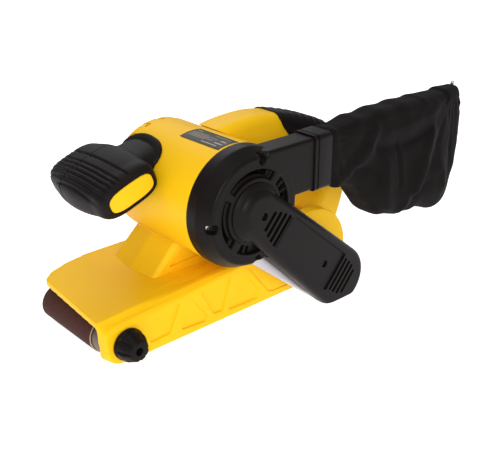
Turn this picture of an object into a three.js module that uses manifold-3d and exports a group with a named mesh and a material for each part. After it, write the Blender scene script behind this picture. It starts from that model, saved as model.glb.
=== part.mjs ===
// A handheld belt sander: a transverse motor drives a 75 mm wide sanding belt through a side belt drive.
// Millimetres. +X is the tool's left side, +Y its rear, +Z up. The origin is the middle of the
// sanding face, on the work surface.
import * as THREE from "three";
import { mergeVertices } from "three/addons/utils/BufferGeometryUtils.js";
import { ConvexGeometry } from "three/addons/geometries/ConvexGeometry.js";
import Module from "manifold-3d";

const wasm = await Module();
wasm.setup();

// ---- Driving dimensions -------------------------------------------------------------------
const GAP = 0.3; // clearance between neighbouring pieces
const HALF_BELT = 37.5; // half the sanding belt's width
const BELT_THICKNESS = 1;
const REAR_TURN = 20; // outer radius of the belt on the drive drum, and the drum's height
const FRONT_TURN = 16; // the same on the front roller
const REAR_ROLLER_Y = 103.5;
const FRONT_ROLLER_Y = -102;
const BELT_X = 8; // the belt's middle, a little left of the tool's own middle plane
const KNOB_Y = -101.5;
const KNOB_Z = 20;
const MOTOR_Z = 112.5;
const BARREL_RADIUS = 49.3;
const BARREL_WALL = 3.5;
const BARREL_RIGHT = -11;
const BARREL_LEFT = 85;
const FAN_RADIUS = 50;
const FAN_FACE_RADIUS = 43.5;
const FAN_FACE_X = 109.5;
const DECK_RIGHT = -40;
const DECK_LEFT = 66;
const DECK_TOP = 46;
const DECK_THICKNESS = 4;
const FRONT_LIP_Y = -123;
const SIDE_FACE_X = 74; // outer face of the left side wall
const WALL_INSIDE_X = 64.4;
const REAR_LOBE_RADIUS = 45;
const ARM_ANGLE = -Math.atan2(MOTOR_Z - REAR_TURN, REAR_ROLLER_Y);
const ARM_SPAN = Math.hypot(MOTOR_Z - REAR_TURN, REAR_ROLLER_Y);
const ARM_RADIUS = 28.4;
const ARM_INSIDE_X = 98;
const DRIVE_PLANE_X = 103.5; // middle of the drive belt
const DRIVE_WIDTH = 8;
const SMALL_PULLEY = 7.7;
const LARGE_PULLEY = 21.7;
const DRIVE_BELT_THICKNESS = 2;
const HANDLE_X = 26; // middle plane of the rear handle
const HANDLE_HALF_WIDTH = 17.5;
const PADDLE_Y = -75;
const PADDLE_Z = 131.5;
const PADDLE_TILT = THREE.MathUtils.degToRad(20);
const DUCT = { x0: 87, x1: 109.5, y1: 82, z0: 114, z1: 158.5 };
const DUCT_WALL = 3;
const LOCK = { y: 84, z: 139, radius: 5 };
const GLAND_Z = 78;
const COLLAR_FRONT_Y = 64;
const COLLAR_REAR_Y = 86;

// ---- Materials ----------------------------------------------------------------------------
const finish = (color, roughness, metalness = 0) =>
  new THREE.MeshStandardMaterial({ color, roughness, metalness });
const yellow = finish(0xf6b911, 0.42);
const insertYellow = finish(0xfcca20, 0.45);
const black = finish(0x262324, 0.5);
const rubber = finish(0x1f1d1e, 0.75);
const aluminium = finish(0xb9b3b8, 0.35, 0.9);
const steel = finish(0xa8a8ac, 0.3, 1);
const darkSteel = finish(0x55565a, 0.45, 0.9);
const copper = finish(0xb06a3a, 0.35, 0.9);
const carbon = finish(0x2b2b2d, 0.8);
const abrasive = finish(0x5b2f2c, 0.95);
const cork = finish(0x8a6f4d, 0.9);
const cloth = finish(0x221f20, 0.95);
const labelInk = finish(0x1b1b1d, 0.35);

// ---- Solids -------------------------------------------------------------------------------
// A closed three.js geometry as a manifold-3d solid, turned outwards if its faces point in.
function solid(geometry) {
  const plain = geometry.clone();
  plain.deleteAttribute("normal");
  plain.deleteAttribute("uv");
  const merged = mergeVertices(plain, 1e-4);
  const build = (triVerts) =>
    new wasm.Manifold(
      new wasm.Mesh({ numProp: 3, vertProperties: merged.attributes.position.array, triVerts }),
    );
  const faces = new Uint32Array(merged.index.array);
  const made = build(faces);
  if (made.volume() > 0) return made;
  return build(Uint32Array.from(faces).reverse());
}

// A manifold-3d solid as a three.js geometry.
function geometryOf(made) {
  const mesh = made.getMesh();
  const geometry = new THREE.BufferGeometry();
  const places = new Float32Array(mesh.vertProperties);
  geometry.setAttribute("position", new THREE.BufferAttribute(places, 3));
  geometry.setIndex(new THREE.BufferAttribute(new Uint32Array(mesh.triVerts), 1));
  geometry.computeVertexNormals();
  return geometry;
}

const join = (...solids) => solids.reduce((all, next) => all.add(next));
const cut = (from, ...tools) => tools.reduce((left, tool) => left.subtract(tool), from);

// The largest body of a cut piece, without the slivers that a cut may leave.
const mainBody = (made) => made.decompose().sort((a, b) => b.volume() - a.volume())[0];

function box(x0, x1, y0, y1, z0, z1) {
  const geometry = new THREE.BoxGeometry(x1 - x0, y1 - y0, z1 - z0);
  geometry.translate((x0 + x1) / 2, (y0 + y1) / 2, (z0 + z1) / 2);
  return solid(geometry);
}

// A cylinder or cone along X from x0 (radius0) to x1 (radius1) about the line through y, z.
function rodX(radius0, x0, x1, y = 0, z = 0, sides = 20, radius1 = radius0) {
  const geometry = new THREE.CylinderGeometry(radius1, radius0, x1 - x0, sides);
  geometry.rotateZ(-Math.PI / 2);
  geometry.translate((x0 + x1) / 2, y, z);
  return solid(geometry);
}

function rodY(radius, y0, y1, x, z, sides = 20) {
  const geometry = new THREE.CylinderGeometry(radius, radius, y1 - y0, sides);
  geometry.translate(x, (y0 + y1) / 2, z);
  return solid(geometry);
}

function rodZ(radius, z0, z1, x, y, sides = 16) {
  const geometry = new THREE.CylinderGeometry(radius, radius, z1 - z0, sides);
  geometry.rotateX(Math.PI / 2);
  geometry.translate(x, y, (z0 + z1) / 2);
  return solid(geometry);
}

const tubeX = (outer, inner, x0, x1, y = 0, z = 0, sides = 20) =>
  cut(rodX(outer, x0, x1, y, z, sides), rodX(inner, x0 - 1, x1 + 1, y, z, sides));

// A profile of [radius, x] pairs turned about the X axis.
function turned(profile, sides = 40) {
  const points = profile.map(([radius, x]) => new THREE.Vector2(radius, x));
  const geometry = new THREE.LatheGeometry(points, sides);
  geometry.rotateZ(-Math.PI / 2);
  return solid(geometry);
}

// A THREE.Shape drawn in Y and Z, extruded along X.
function slab(shape, x0, x1, curveSegments = 10) {
  const settings = { depth: x1 - x0, bevelEnabled: false, curveSegments };
  const geometry = new THREE.ExtrudeGeometry(shape, settings);
  const axes = new THREE.Matrix4().makeBasis(
    new THREE.Vector3(0, 1, 0),
    new THREE.Vector3(0, 0, 1),
    new THREE.Vector3(1, 0, 0),
  );
  geometry.applyMatrix4(axes);
  geometry.translate(x0, 0, 0);
  return solid(geometry);
}

const outline = (pairs) => new THREE.Shape(pairs.map(([a, b]) => new THREE.Vector2(a, b)));
const convex = (points) =>
  solid(new ConvexGeometry(points.map(([x, y, z]) => new THREE.Vector3(x, y, z))));

// Points of an arc in the Y, Z plane, angles in degrees from +Y towards +Z.
function arc(y, z, radius, from, to, steps) {
  return Array.from({ length: steps + 1 }, (_, i) => {
    const angle = THREE.MathUtils.degToRad(from + ((to - from) * i) / steps);
    return [y + radius * Math.cos(angle), z + radius * Math.sin(angle)];
  });
}

// The outline that a band round two circles takes: radius0 at 0, radius1 at span along the first axis.
function bandOutline(radius0, radius1, span, steps = 9) {
  const lean = THREE.MathUtils.radToDeg(Math.asin((radius1 - radius0) / span));
  return [
    ...arc(0, 0, radius0, 90 + lean, 270 - lean, steps),
    ...arc(span, 0, radius1, -90 - lean, 90 + lean, steps),
  ];
}

// ---- Scene graph --------------------------------------------------------------------------
const sander = new THREE.Group();

function piece(name, made, material, group = sander) {
  const mesh = new THREE.Mesh(geometryOf(made), material);
  mesh.name = name;
  group.add(mesh);
}

function place(y, z, turn = 0) {
  const group = new THREE.Group();
  group.position.set(0, y, z);
  group.rotation.x = turn;
  sander.add(group);
  return group;
}

const motor = place(0, MOTOR_Z); // the motor's axis
const arm = place(0, MOTOR_Z, ARM_ANGLE); // +Y runs down the drive arm to the rear roller
const rear = place(REAR_ROLLER_Y, REAR_TURN);
const front = place(FRONT_ROLLER_Y, FRONT_TURN);
const knob = place(KNOB_Y, KNOB_Z);

// ---- Sanding belt and what it runs on -----------------------------------------------------
// The belt's closed loop, drawn in by inset: flat along the bottom, rising to the rear on top.
function beltLoop(inset) {
  const rise = Math.atan2(REAR_TURN - FRONT_TURN, REAR_ROLLER_Y - FRONT_ROLLER_Y);
  const top = 90 + 2 * THREE.MathUtils.radToDeg(rise);
  return [
    ...arc(REAR_ROLLER_Y, REAR_TURN, REAR_TURN - inset, -90, top, 12),
    ...arc(FRONT_ROLLER_Y, FRONT_TURN, FRONT_TURN - inset, top, 270, 12),
  ];
}

function makeBelt() {
  const loop = outline(beltLoop(0));
  loop.holes.push(outline(beltLoop(BELT_THICKNESS)));
  piece("sanding_belt", slab(loop, BELT_X - HALF_BELT, BELT_X + HALF_BELT), abrasive);
  const inside = BELT_THICKNESS + GAP;
  piece("platen_plate", box(BELT_X - 36, BELT_X + 36, -78, 80, inside, inside + 1), darkSteel);
  const padBottom = inside + 1 + GAP;
  piece("platen_pad", box(BELT_X - 36, BELT_X + 36, -76, 78, padBottom, padBottom + 2.6), cork);
}

const FRAME_BOTTOM = 5.6;
const BEARING_RADIUS = 13;
const SHAFT_RADIUS = 6;
const LEVER_X = -24.5;
const LEVER_Y = -44;
const FRAME_WALL_X = BELT_X + HALF_BELT + 2.8; // inner face of the frame's side wall

function makeFrame() {
  const block = convex(
    [BELT_X - 36, FRAME_WALL_X + 1].flatMap((x) => [
      [x, -60, FRAME_BOTTOM],
      [x, -60, 31.6],
      [x, 78, 36.8],
      [x, 78, FRAME_BOTTOM],
    ]),
  );
  const wall = convex(
    [FRAME_WALL_X, FRAME_WALL_X + 5.6].flatMap((x) => [
      [x, -60, FRAME_BOTTOM],
      [x, -60, 32],
      [x, 30, 39],
      [x, 116, 40.6],
      [x, 134, 30],
      [x, 134, FRAME_BOTTOM + 2],
      [x, 118, FRAME_BOTTOM],
    ]),
  );
  const springBore = rodY(7.4, -61, 6, BELT_X, FRONT_TURN);
  const leverPocket = box(BELT_X - 37, LEVER_X + 7.5, -53, 24, 12.4, 27.6);
  const pinHole = rodZ(2.8, 7, 33, LEVER_X, LEVER_Y);
  const seatX = [FRAME_WALL_X - 1, FRAME_WALL_X + 7];
  const bearingSeat = rodX(BEARING_RADIUS + GAP, ...seatX, REAR_ROLLER_Y, REAR_TURN);
  const drumRoom = rodX(REAR_TURN + 1, -32, FRAME_WALL_X - 0.1, REAR_ROLLER_Y, REAR_TURN);
  const hollows = [-18, 20].map((x) => box(BELT_X + x - 10, BELT_X + x + 10, 28, 70, 10, 40));
  const frame = cut(join(block, wall), springBore, leverPocket, pinHole, bearingSeat, drumRoom);
  const sideHollow = box(BELT_X + 12, BELT_X + 36, -52, 20, 10, 40);
  piece("base_frame", cut(frame, ...hollows, sideHollow), aluminium);
}

function makeFrontRoller() {
  const [x0, x1] = [BELT_X - 36.4, 58];
  piece("front_roller", tubeX(FRONT_TURN - BELT_THICKNESS - GAP, 5.3, x0, x1), steel, front);
  piece("idler_axle", rodX(5, x0 - 3.6, x1 + 4.2, 0, 0, 20), darkSteel, front);
  const bar = box(x0 - 3.7, x1 + 4, 22, 31, -7.4, 7.4);
  const rightArm = box(x0 - 3.7, x0 - 0.7, -6.5, 31, -7, 7);
  const leftArm = box(x1 + 0.6, x1 + 4, -6.5, 31, -7, 7);
  const shaftHole = rodX(5.4, x0 - 5, x0, 0, 0, 20);
  const slotX = [x1, x1 + 5];
  const ends = [0, 3].map((y) => rodX(5.4, ...slotX, y, 0, 20));
  const slot = join(...ends, box(...slotX, 0, 3, -5.4, 5.4));
  const rod = join(rodY(6.8, 30, 72, BELT_X, 0), rodY(3, 70, 94, BELT_X, 0, 12));
  piece("idler_yoke", cut(join(bar, rightArm, leftArm, rod), shaftHole, slot), darkSteel, front);
  piece("tension_spring", springCoil(72.4, 90, 4.8, 0.65, 5), steel, front);
}

// A helical spring along Y, centred on the group's axis, from y0 to y1.
function springCoil(y0, y1, radius, wire, turns) {
  class Helix extends THREE.Curve {
    getPoint(t, target = new THREE.Vector3()) {
      const angle = 2 * Math.PI * turns * t;
      const along = y0 + wire + (y1 - y0 - 2 * wire) * t;
      return target.set(BELT_X + radius * Math.cos(angle), along, radius * Math.sin(angle));
    }
  }
  const section = new THREE.Shape();
  section.absarc(0, 0, wire, 0, 2 * Math.PI);
  const settings = { steps: turns * 8, extrudePath: new Helix(), curveSegments: 2 };
  return solid(new THREE.ExtrudeGeometry(section, settings));
}

function makeTensionLever() {
  const eye = rodZ(6.4, 13, 27, LEVER_X, LEVER_Y, 20);
  const bar = box(LEVER_X - 3, LEVER_X + 3, LEVER_Y, 18, 13, 27);
  const lip = box(LEVER_X - 6.4, LEVER_X, 8, 18, 15, 25);
  const hole = rodZ(2.8, 12, 28, LEVER_X, LEVER_Y);
  piece("tension_lever", cut(join(eye, bar, lip), hole), black);
  piece("lever_pin", rodZ(2.5, 7.4, 31.2, LEVER_X, LEVER_Y), steel);
}

function makeDriveRoller() {
  const [x2, x3] = [BELT_X - 36.4, BELT_X + 37.5];
  piece("drive_drum", tubeX(15, SHAFT_RADIUS + GAP, x2, x3), aluminium, rear);
  piece("drum_sleeve", tubeX(REAR_TURN - BELT_THICKNESS - GAP, 15 + GAP, x2, x3), rubber, rear);
  piece("drive_shaft", rodX(SHAFT_RADIUS, x2 - 2, 108.6, 0, 0, 20), steel, rear);
  const seat = [FRAME_WALL_X + 0.1, FRAME_WALL_X + 5.5];
  const inner = tubeX(BEARING_RADIUS, SHAFT_RADIUS + GAP, ...seat, 0, 0, 20);
  piece("shaft_bearing_inner", inner, steel, rear);
  const outer = tubeX(BEARING_RADIUS, SHAFT_RADIUS + GAP, 80, 87, 0, 0, 20);
  piece("shaft_bearing_outer", outer, steel, rear);
  const x0 = DRIVE_PLANE_X - DRIVE_WIDTH / 2 - 0.5;
  const x1 = DRIVE_PLANE_X + DRIVE_WIDTH / 2 + 0.5;
  const rim = tubeX(LARGE_PULLEY, SHAFT_RADIUS + GAP, x0, x1, 0, 0, 28);
  const dish = cut(rodX(18, x0 + 4.5, x1 + 1, 0, 0, 18), rodX(10, x0, x1 + 2, 0, 0, 18));
  piece("driven_pulley", cut(rim, dish), darkSteel, rear);
}

// ---- Motor --------------------------------------------------------------------------------
function makeMotor() {
  piece("motor_shaft", rodX(4, -27, 108.6, 0, 0, 16), steel, motor);
  const slots = Array.from({ length: 12 }, (_, i) => {
    const geometry = new THREE.BoxGeometry(60, 6, 2.4);
    geometry.translate(32, 23, 0);
    geometry.rotateX((i * Math.PI) / 6);
    return solid(geometry);
  });
  piece("armature_core", cut(tubeX(24, 4 + GAP, 12, 54, 0, 0, 24), ...slots), darkSteel, motor);
  piece("commutator", tubeX(12, 4 + GAP, -8, 6, 0, 0, 18), copper, motor);
  const poles = tubeX(BARREL_RADIUS - BARREL_WALL - GAP, 25.5, 11, 53, 0, 0, 30);
  const windings = [box(7, 57, 31, 50, -18, 18), box(7, 57, -50, -31, -18, 18)];
  piece("stator", cut(poles, ...windings), darkSteel, motor);
  for (const [name, side] of [["front", -1], ["rear", 1]]) {
    const near = (a, b) => (side > 0 ? [a, b] : [-b, -a]);
    const shell = box(-6.5, 5, ...near(14, 41), -6, 6);
    const bore = box(-3.7, 2.2, ...near(13, 39), -3.7, 3.7);
    piece("brush_holder_" + name, cut(shell, bore), copper, motor);
    piece("brush_" + name, box(-3.4, 1.9, ...near(12.4, 30), -3.4, 3.4), carbon, motor);
  }
  piece("motor_bearing_right", tubeX(11, 4 + GAP, -26, -19, 0, 0, 18), steel, motor);
  piece("motor_bearing_left", tubeX(11, 4 + GAP, 70, 77, 0, 0, 18), steel, motor);
  const plate = rodX(BARREL_RADIUS - BARREL_WALL - GAP, 77.5, 80.5, 0, 0, 32);
  const hub = rodX(15, 69.5, 80.5, 0, 0, 24);
  const seat = rodX(11 + GAP, 69, 77.3, 0, 0, 24);
  const eye = rodX(6, 69, 82, 0, 0, 16);
  const inlets = Array.from({ length: 6 }, (_, i) => {
    const geometry = new THREE.CylinderGeometry(9, 9, 12, 8);
    geometry.rotateZ(Math.PI / 2);
    geometry.translate(79, 29, 0);
    geometry.rotateX((i * Math.PI) / 3);
    return solid(geometry);
  });
  piece("bearing_plate", cut(join(plate, hub), seat, eye, ...inlets), black, motor);
  makeFan();
  const x0 = DRIVE_PLANE_X - DRIVE_WIDTH / 2 - 0.5;
  const x1 = DRIVE_PLANE_X + DRIVE_WIDTH / 2 + 0.5;
  piece("drive_pulley", tubeX(SMALL_PULLEY, 4 + GAP, x0, x1, 0, 0, 24), darkSteel, motor);
}

function makeFan() {
  const disc = rodX(38, 83.5, 85.5, 0, 0, 36);
  const hub = rodX(9, 83.5, 95, 0, 0, 20);
  const blades = Array.from({ length: 9 }, (_, i) => {
    const geometry = new THREE.BoxGeometry(9.6, 30, 1.8);
    geometry.rotateX(0.35);
    geometry.translate(90.2, 22, -5);
    geometry.rotateX((i * 2 * Math.PI) / 9);
    return solid(geometry);
  });
  const fan = cut(join(disc, hub, ...blades), rodX(4 + GAP, 80, 99, 0, 0, 16));
  piece("dust_fan", fan, black, motor);
}

// ---- Casings ------------------------------------------------------------------------------
const barrelRoom = (extra) => rodX(BARREL_RADIUS + extra + 0.15, -60, 120, 0, MOTOR_Z, 36);

// The vents are cut across the edge between the barrel and its end dome.
function ventSlots() {
  return [-2, -1, 0, 1, 2, 3, 4].map((i) => {
    const geometry = new THREE.BoxGeometry(14, 4, 14);
    geometry.translate(BARREL_RIGHT - 4, 0, BARREL_RADIUS - 1);
    geometry.rotateX(THREE.MathUtils.degToRad(18 * i));
    geometry.translate(0, 0, MOTOR_Z);
    return solid(geometry);
  });
}

function makeMotorHousing() {
  const barrel = rodX(BARREL_RADIUS, BARREL_RIGHT, BARREL_LEFT, 0, MOTOR_Z, 36);
  const foot = DECK_TOP + GAP;
  const waist = [
    [BARREL_RIGHT, -27, 75],
    [45, -27, 75],
    [50, 40, 75],
    [BARREL_RIGHT, 40, 75],
  ];
  const foothold = convex([[-20, -50, foot], [40, -50, foot], [44, 60, foot], [-20, 60, foot], ...waist]);
  const shoulder = convex([
    ...waist,
    [BARREL_RIGHT, -20, 100],
    [45, -20, 100],
    [50, 20, 100],
    [BARREL_RIGHT, 20, 100],
  ]);
  const bore = rodX(BARREL_RADIUS - BARREL_WALL, BARREL_RIGHT - 10, BARREL_LEFT + 1, 0, MOTOR_Z, 30);
  const under = box(-8, 36, -32, 48, foot - 1, 60);
  const studHole = neckRod(4.3, BARREL_RADIUS - 8, BARREL_RADIUS + 4);
  const label = rodX(BARREL_RADIUS + 1, 34, 82.6, 0, MOTOR_Z, 44);
  const shell = cut(join(barrel, foothold, shoulder), bore, under, studHole, ...ventSlots());
  const recess = cut(label, rodX(BARREL_RADIUS - 0.9, 33, 84, 0, MOTOR_Z, 44));
  const patch = convex(
    [33.9, 82.7].flatMap((x) => [
      [x, 0, MOTOR_Z],
      [x, -17.4, MOTOR_Z + 55],
      [x, 9.4, MOTOR_Z + 55],
    ]),
  );
  piece("motor_housing", cut(shell, recess.intersect(patch)), yellow);
  const sheet = cut(
    rodX(BARREL_RADIUS - 0.1, 34.3, 82.3, 0, MOTOR_Z, 44),
    rodX(BARREL_RADIUS - 0.6, 33, 84, 0, MOTOR_Z, 44),
  );
  const sector = convex(
    [34, 82.6].flatMap((x) => [
      [x, -0.3, MOTOR_Z + 1],
      [x, -16.6, MOTOR_Z + 55],
      [x, 8.6, MOTOR_Z + 55],
    ]),
  );
  piece("rating_label", sheet.intersect(sector), labelInk);
}

function makeEndCap() {
  const edge = BARREL_RIGHT - GAP;
  const dome = [
    [0, -31],
    [24, -31],
    [36, -28.5],
    [44, -22],
    [BARREL_RADIUS - 0.9, edge - 4],
    [BARREL_RADIUS - 0.9, edge],
    [BARREL_RADIUS - 4, edge],
    [41, -20],
    [34, -25.6],
    [23, -28],
    [0, -28],
  ];
  const hub = tubeX(14.5, 11 + GAP, -29, -19.5, 0, MOTOR_Z, 24);
  const turnedDome = turned(dome, 32).translate([0, 0, MOTOR_Z]);
  const pedestalRoom = box(-21, -5, -55, 65, 40, 75.5);
  piece("end_cap", cut(join(turnedDome, hub), pedestalRoom, ...ventSlots()), yellow);
}

function makeFanHousing() {
  const x0 = BARREL_LEFT + GAP;
  const outer = turned(
    [
      [0, x0],
      [FAN_RADIUS, x0],
      [FAN_RADIUS, 97],
      [FAN_FACE_RADIUS + 1.2, 107.5],
      [FAN_FACE_RADIUS, FAN_FACE_X],
      [0, FAN_FACE_X],
    ],
    36,
  );
  const fanRoom = rodX(BARREL_RADIUS - BARREL_WALL, x0 - 1, 96.4, 0, 0, 30);
  const ringRecess = cut(rodX(34.7, 105.5, 112, 0, 0, 28), rodX(27.5, 104, 113, 0, 0, 24));
  const shaftHole = rodX(6, 90, 112, 0, 0, 16);
  const lugs = [48, 228].map((angle) => {
    const geometry = new THREE.BoxGeometry(6, 10, 6);
    geometry.translate(107, 32, 0);
    geometry.rotateX(THREE.MathUtils.degToRad(angle));
    return solid(geometry);
  });
  const duct = box(DUCT.x0, DUCT.x1, 0, DUCT.y1, DUCT.z0 - MOTOR_Z, DUCT.z1 - MOTOR_Z);
  const low = DUCT.z0 - MOTOR_Z + DUCT_WALL;
  const high = DUCT.z1 - MOTOR_Z - DUCT_WALL;
  const bore = join(
    box(DUCT.x0 + DUCT_WALL, 96.4, 8, 48, low, high),
    box(DUCT.x0 + DUCT_WALL, DUCT.x1 - DUCT_WALL, 47, DUCT.y1 + 1, low, high),
  );
  const body = join(cut(join(outer, duct), ringRecess), ...lugs);
  const made = cut(body, fanRoom, shaftHole, bore, driveChannel().rotate([armDegrees(), 0, 0]));
  const screwHole = (y, z) => join(rodX(3.4, 99, 112, y, z, 12), rodX(1.8, 90, 112, y, z, 10));
  const holes = fanScrewPlaces().map(([y, z]) => screwHole(y, z));
  piece("fan_housing", cut(made, ...holes), black, motor);
  fanScrewPlaces().forEach(([y, z], i) => {
    const head = cut(rodX(3, 99.3, 102.5, y, z, 12), rodX(1.3, 100.8, 103, y, z, 6));
    piece("fan_screw_" + (i + 1), join(head, rodX(1.5, 97, 99.5, y, z, 10)), steel, motor);
  });
}

// Rim screws, as places round the motor's axis.
function fanScrewPlaces() {
  return [184, 80, 274].map((degrees) => {
    const angle = THREE.MathUtils.degToRad(degrees);
    return [41.6 * Math.cos(angle), 41.6 * Math.sin(angle)];
  });
}

const armDegrees = () => THREE.MathUtils.radToDeg(ARM_ANGLE);

// The room that the drive belt and its pulleys need, in the arm's own frame.
function driveChannel(x0 = 98) {
  const shape = outline(bandOutline(SMALL_PULLEY + 4.6, LARGE_PULLEY + 3.8, ARM_SPAN));
  return slab(shape, x0, 110.4);
}

function makeDriveArm() {
  const base = bandOutline(ARM_RADIUS, ARM_RADIUS, ARM_SPAN, 12);
  const lowerEnd = (radius) => arc(ARM_SPAN, 0, radius, -90, 90, 12);
  const upperEnd = (radius) => arc(0, 0, radius, 90, 270, 12);
  const ring = (pairs, x) => pairs.map(([y, z]) => [x, y, z]);
  const outer = convex([
    ...ring(base, ARM_INSIDE_X),
    ...ring(lowerEnd(ARM_RADIUS), 106.5),
    ...ring(lowerEnd(ARM_RADIUS - 1.6), 110.8),
    ...ring(lowerEnd(ARM_RADIUS - 5), 112.6),
    ...ring(upperEnd(ARM_RADIUS), 106.5),
    ...ring(upperEnd(21.5), 115),
    ...ring(upperEnd(17.5), 117),
  ]);
  const fanBody = join(
    rodX(FAN_FACE_RADIUS + 1.9, 107.4, FAN_FACE_X + GAP, 0, 0, 36),
    rodX(FAN_RADIUS + 0.8, 84, 97.6, 0, 0, 36),
    rodX(FAN_RADIUS + 0.8, 97.5, 107.9, 0, 0, 36, FAN_FACE_RADIUS + 1.9),
  );
  const screwHole = (y, x) => join(rodX(3.4, x - 2.6, 120, y, 0, 14), rodX(1.8, 90, 120, y, 0, 10));
  const holes = armScrewPlaces().map(([y, x]) => screwHole(y, x));
  piece("belt_cover", cut(outer, fanBody, driveChannel(97), ...armSlots(), ...holes), black, arm);
  armScrewPlaces().forEach(([y, x1], i) => {
    const head = cut(rodX(3, x1 - 2.3, x1 - 0.6, y, 0, 12), rodX(1.2, x1 - 1.8, x1, y, 0, 6));
    const stem = rodX(1.5, x1 - 5, x1 - 2.2, y, 0, 10);
    piece(["arm_screw_upper", "arm_screw_lower"][i], join(head, stem), steel, arm);
  });
  const runRound = (extra) => {
    return outline(bandOutline(SMALL_PULLEY + extra, LARGE_PULLEY + extra, ARM_SPAN, 14));
  };
  const band = runRound(GAP + DRIVE_BELT_THICKNESS);
  band.holes.push(runRound(GAP));
  const x0 = DRIVE_PLANE_X - DRIVE_WIDTH / 2;
  piece("drive_belt", slab(band, x0, x0 + DRIVE_WIDTH), rubber, arm);
  makeDriveCase(fanBody);
}

// Screws in the arm's face: distance down the arm, and the height of the face there.
const armScrewPlaces = () => [
  [4, 116.8],
  [105, 113.3],
];

// Four slots near each end of the arm, across it.
function armSlots() {
  const across = (y, half, x1) => box(x1 - 1.8, 125, y - 1.3, y + 1.3, -half, half);
  return [
    ...[12.5, 18.5, 24.5, 30.5].map((y) => across(y, 11, 115.6)),
    ...[128, 134, 140, 146].map((y) => across(y, 13, 112.6)),
  ];
}

function makeDriveCase(fanBody) {
  const shape = outline(bandOutline(36, ARM_RADIUS - 0.6, ARM_SPAN, 12));
  const block = slab(shape, SIDE_FACE_X + GAP, ARM_INSIDE_X - GAP);
  const room = slab(outline(bandOutline(SMALL_PULLEY + 4, ARM_RADIUS - 4.5, ARM_SPAN)), 89, 100);
  const upperEnd = box(70, 100, -60, 40, -60, 60);
  const bearingSeat = rodX(BEARING_RADIUS + GAP, 79.7, 92, ARM_SPAN, 0, 24);
  const shaftHole = rodX(SHAFT_RADIUS + 1, 70, 92, ARM_SPAN, 0, 20);
  const body = cut(block, fanBody, barrelInArm(), room, upperEnd, bearingSeat, shaftHole);
  piece("drive_case", body, aluminium, arm);
}

const barrelInArm = () => rodX(FAN_RADIUS + 0.6, 60, 97, 0, 0, 44);

// ---- Base cover ---------------------------------------------------------------------------
function makeBaseCover() {
  const lobeArc = (radius, from, to) => arc(REAR_ROLLER_Y, REAR_TURN, radius, from, to, 12);
  const inner = REAR_LOBE_RADIUS - DECK_THICKNESS;
  const deckProfile = outline([
    [FRONT_LIP_Y, 36.6],
    [FRONT_LIP_Y, 41.6],
    [FRONT_LIP_Y + 2, 42.6],
    [-50, 45],
    [60, DECK_TOP],
    ...lobeArc(REAR_LOBE_RADIUS, 125, -21),
    ...lobeArc(inner, -22, 132),
    [60, DECK_TOP - DECK_THICKNESS],
    [-50, 41.4],
    [-111, 40.8],
    [-114.2, 36.6],
  ]);
  const deck = slab(deckProfile, DECK_RIGHT, DECK_LEFT);
  const frontCut = convex(
    [30, 60].flatMap((z) => [
      [DECK_RIGHT - 1, FRONT_LIP_Y - 2, z],
      [DECK_RIGHT - 1, -111.5, z],
      [DECK_LEFT + 10, FRONT_LIP_Y - 0.6, z],
      [DECK_LEFT + 10, FRONT_LIP_Y - 2, z],
    ]),
  );
  const cornerCut = convex(
    [30, 60].flatMap((z) => [
      [DECK_RIGHT - 1, -70, z],
      [DECK_RIGHT - 1, -125, z],
      [-24, -125, z],
      [-26, -112, z],
      [-31, -108, z],
      [-36, -98, z],
      [-39, -84, z],
    ]),
  );
  const outerBox = sideBox(0);
  const lobe = rodX(REAR_LOBE_RADIUS, DECK_LEFT - 4, SIDE_FACE_X - 1, REAR_ROLLER_Y, 28, 40);
  const below = box(-60, 100, -140, 160, -40, 3);
  const innerBox = sideBox(3.6);
  const lobeRoom = rodX(REAR_LOBE_RADIUS - 3.6, 30, SIDE_FACE_X - 4.6, REAR_ROLLER_Y, 28, 40);
  const roomRight = box(40, 62, -112, 140, -5, 40.6);
  const shaftHole = rodX(9, 60, 80, REAR_ROLLER_Y, REAR_TURN, 20);
  const knobHole = rodX(4.6, 60, 80, KNOB_Y, KNOB_Z, 14);
  const fanRoom = rodX(FAN_RADIUS + 0.6, 40, 100, 0, MOTOR_Z, 44);
  const outside = join(cut(deck, frontCut, cornerCut), outerBox, lobe);
  const shell = cut(outside, below, innerBox, lobeRoom, roomRight);
  piece("base_cover", cut(shell, shaftHole, knobHole, fanRoom), yellow);
}

// The hollow box along the left side, drawn in by inset for its inside.
function sideBox(inset) {
  const x = SIDE_FACE_X - inset;
  const right = WALL_INSIDE_X - (inset ? 8 : 0);
  const low = inset ? -5 : 3;
  const y = FRONT_LIP_Y + inset;
  return convex([
    [x, -100, low],
    [x, -108 + inset, low + 1.5],
    [x, -117 + inset, 13],
    [x, y + 1, 33 - inset],
    [x, -112, 34 - inset],
    [x, 90, 54 - inset],
    [x, 134 - inset, 30],
    [x, 134 - inset, low],
    [right, -100, low],
    [right, -108 + inset, low + 1.5],
    [right, -118 + inset, 13],
    [right, y, 40.6 - inset],
    [67 - inset / 2, y, 40.6 - inset],
    [62, 40, 50 - inset],
    [right, 40, 50 - inset],
    [right, 90, 54 - inset],
    [right, 134 - inset, low],
  ]);
}

// ---- Tracking knob ------------------------------------------------------------------------
function makeTrackingKnob() {
  const x0 = SIDE_FACE_X + GAP;
  const grip = turned(
    [
      [0, x0],
      [13.4, x0],
      [13.4, x0 + 3],
      [12.4, x0 + 8],
      [8.8, x0 + 15.4],
      [7.8, x0 + 16.2],
      [3, x0 + 16.2],
      [3, x0 + 10],
      [0, x0 + 10],
    ],
    20,
  );
  piece("tracking_knob", grip, black, knob);
  const screw = join(rodX(4, 62.8, SIDE_FACE_X, 0, 0, 14), rodX(6.5, 62.8, 66, 0, 0, 14));
  piece("tracking_screw", screw, steel, knob);
}

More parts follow.
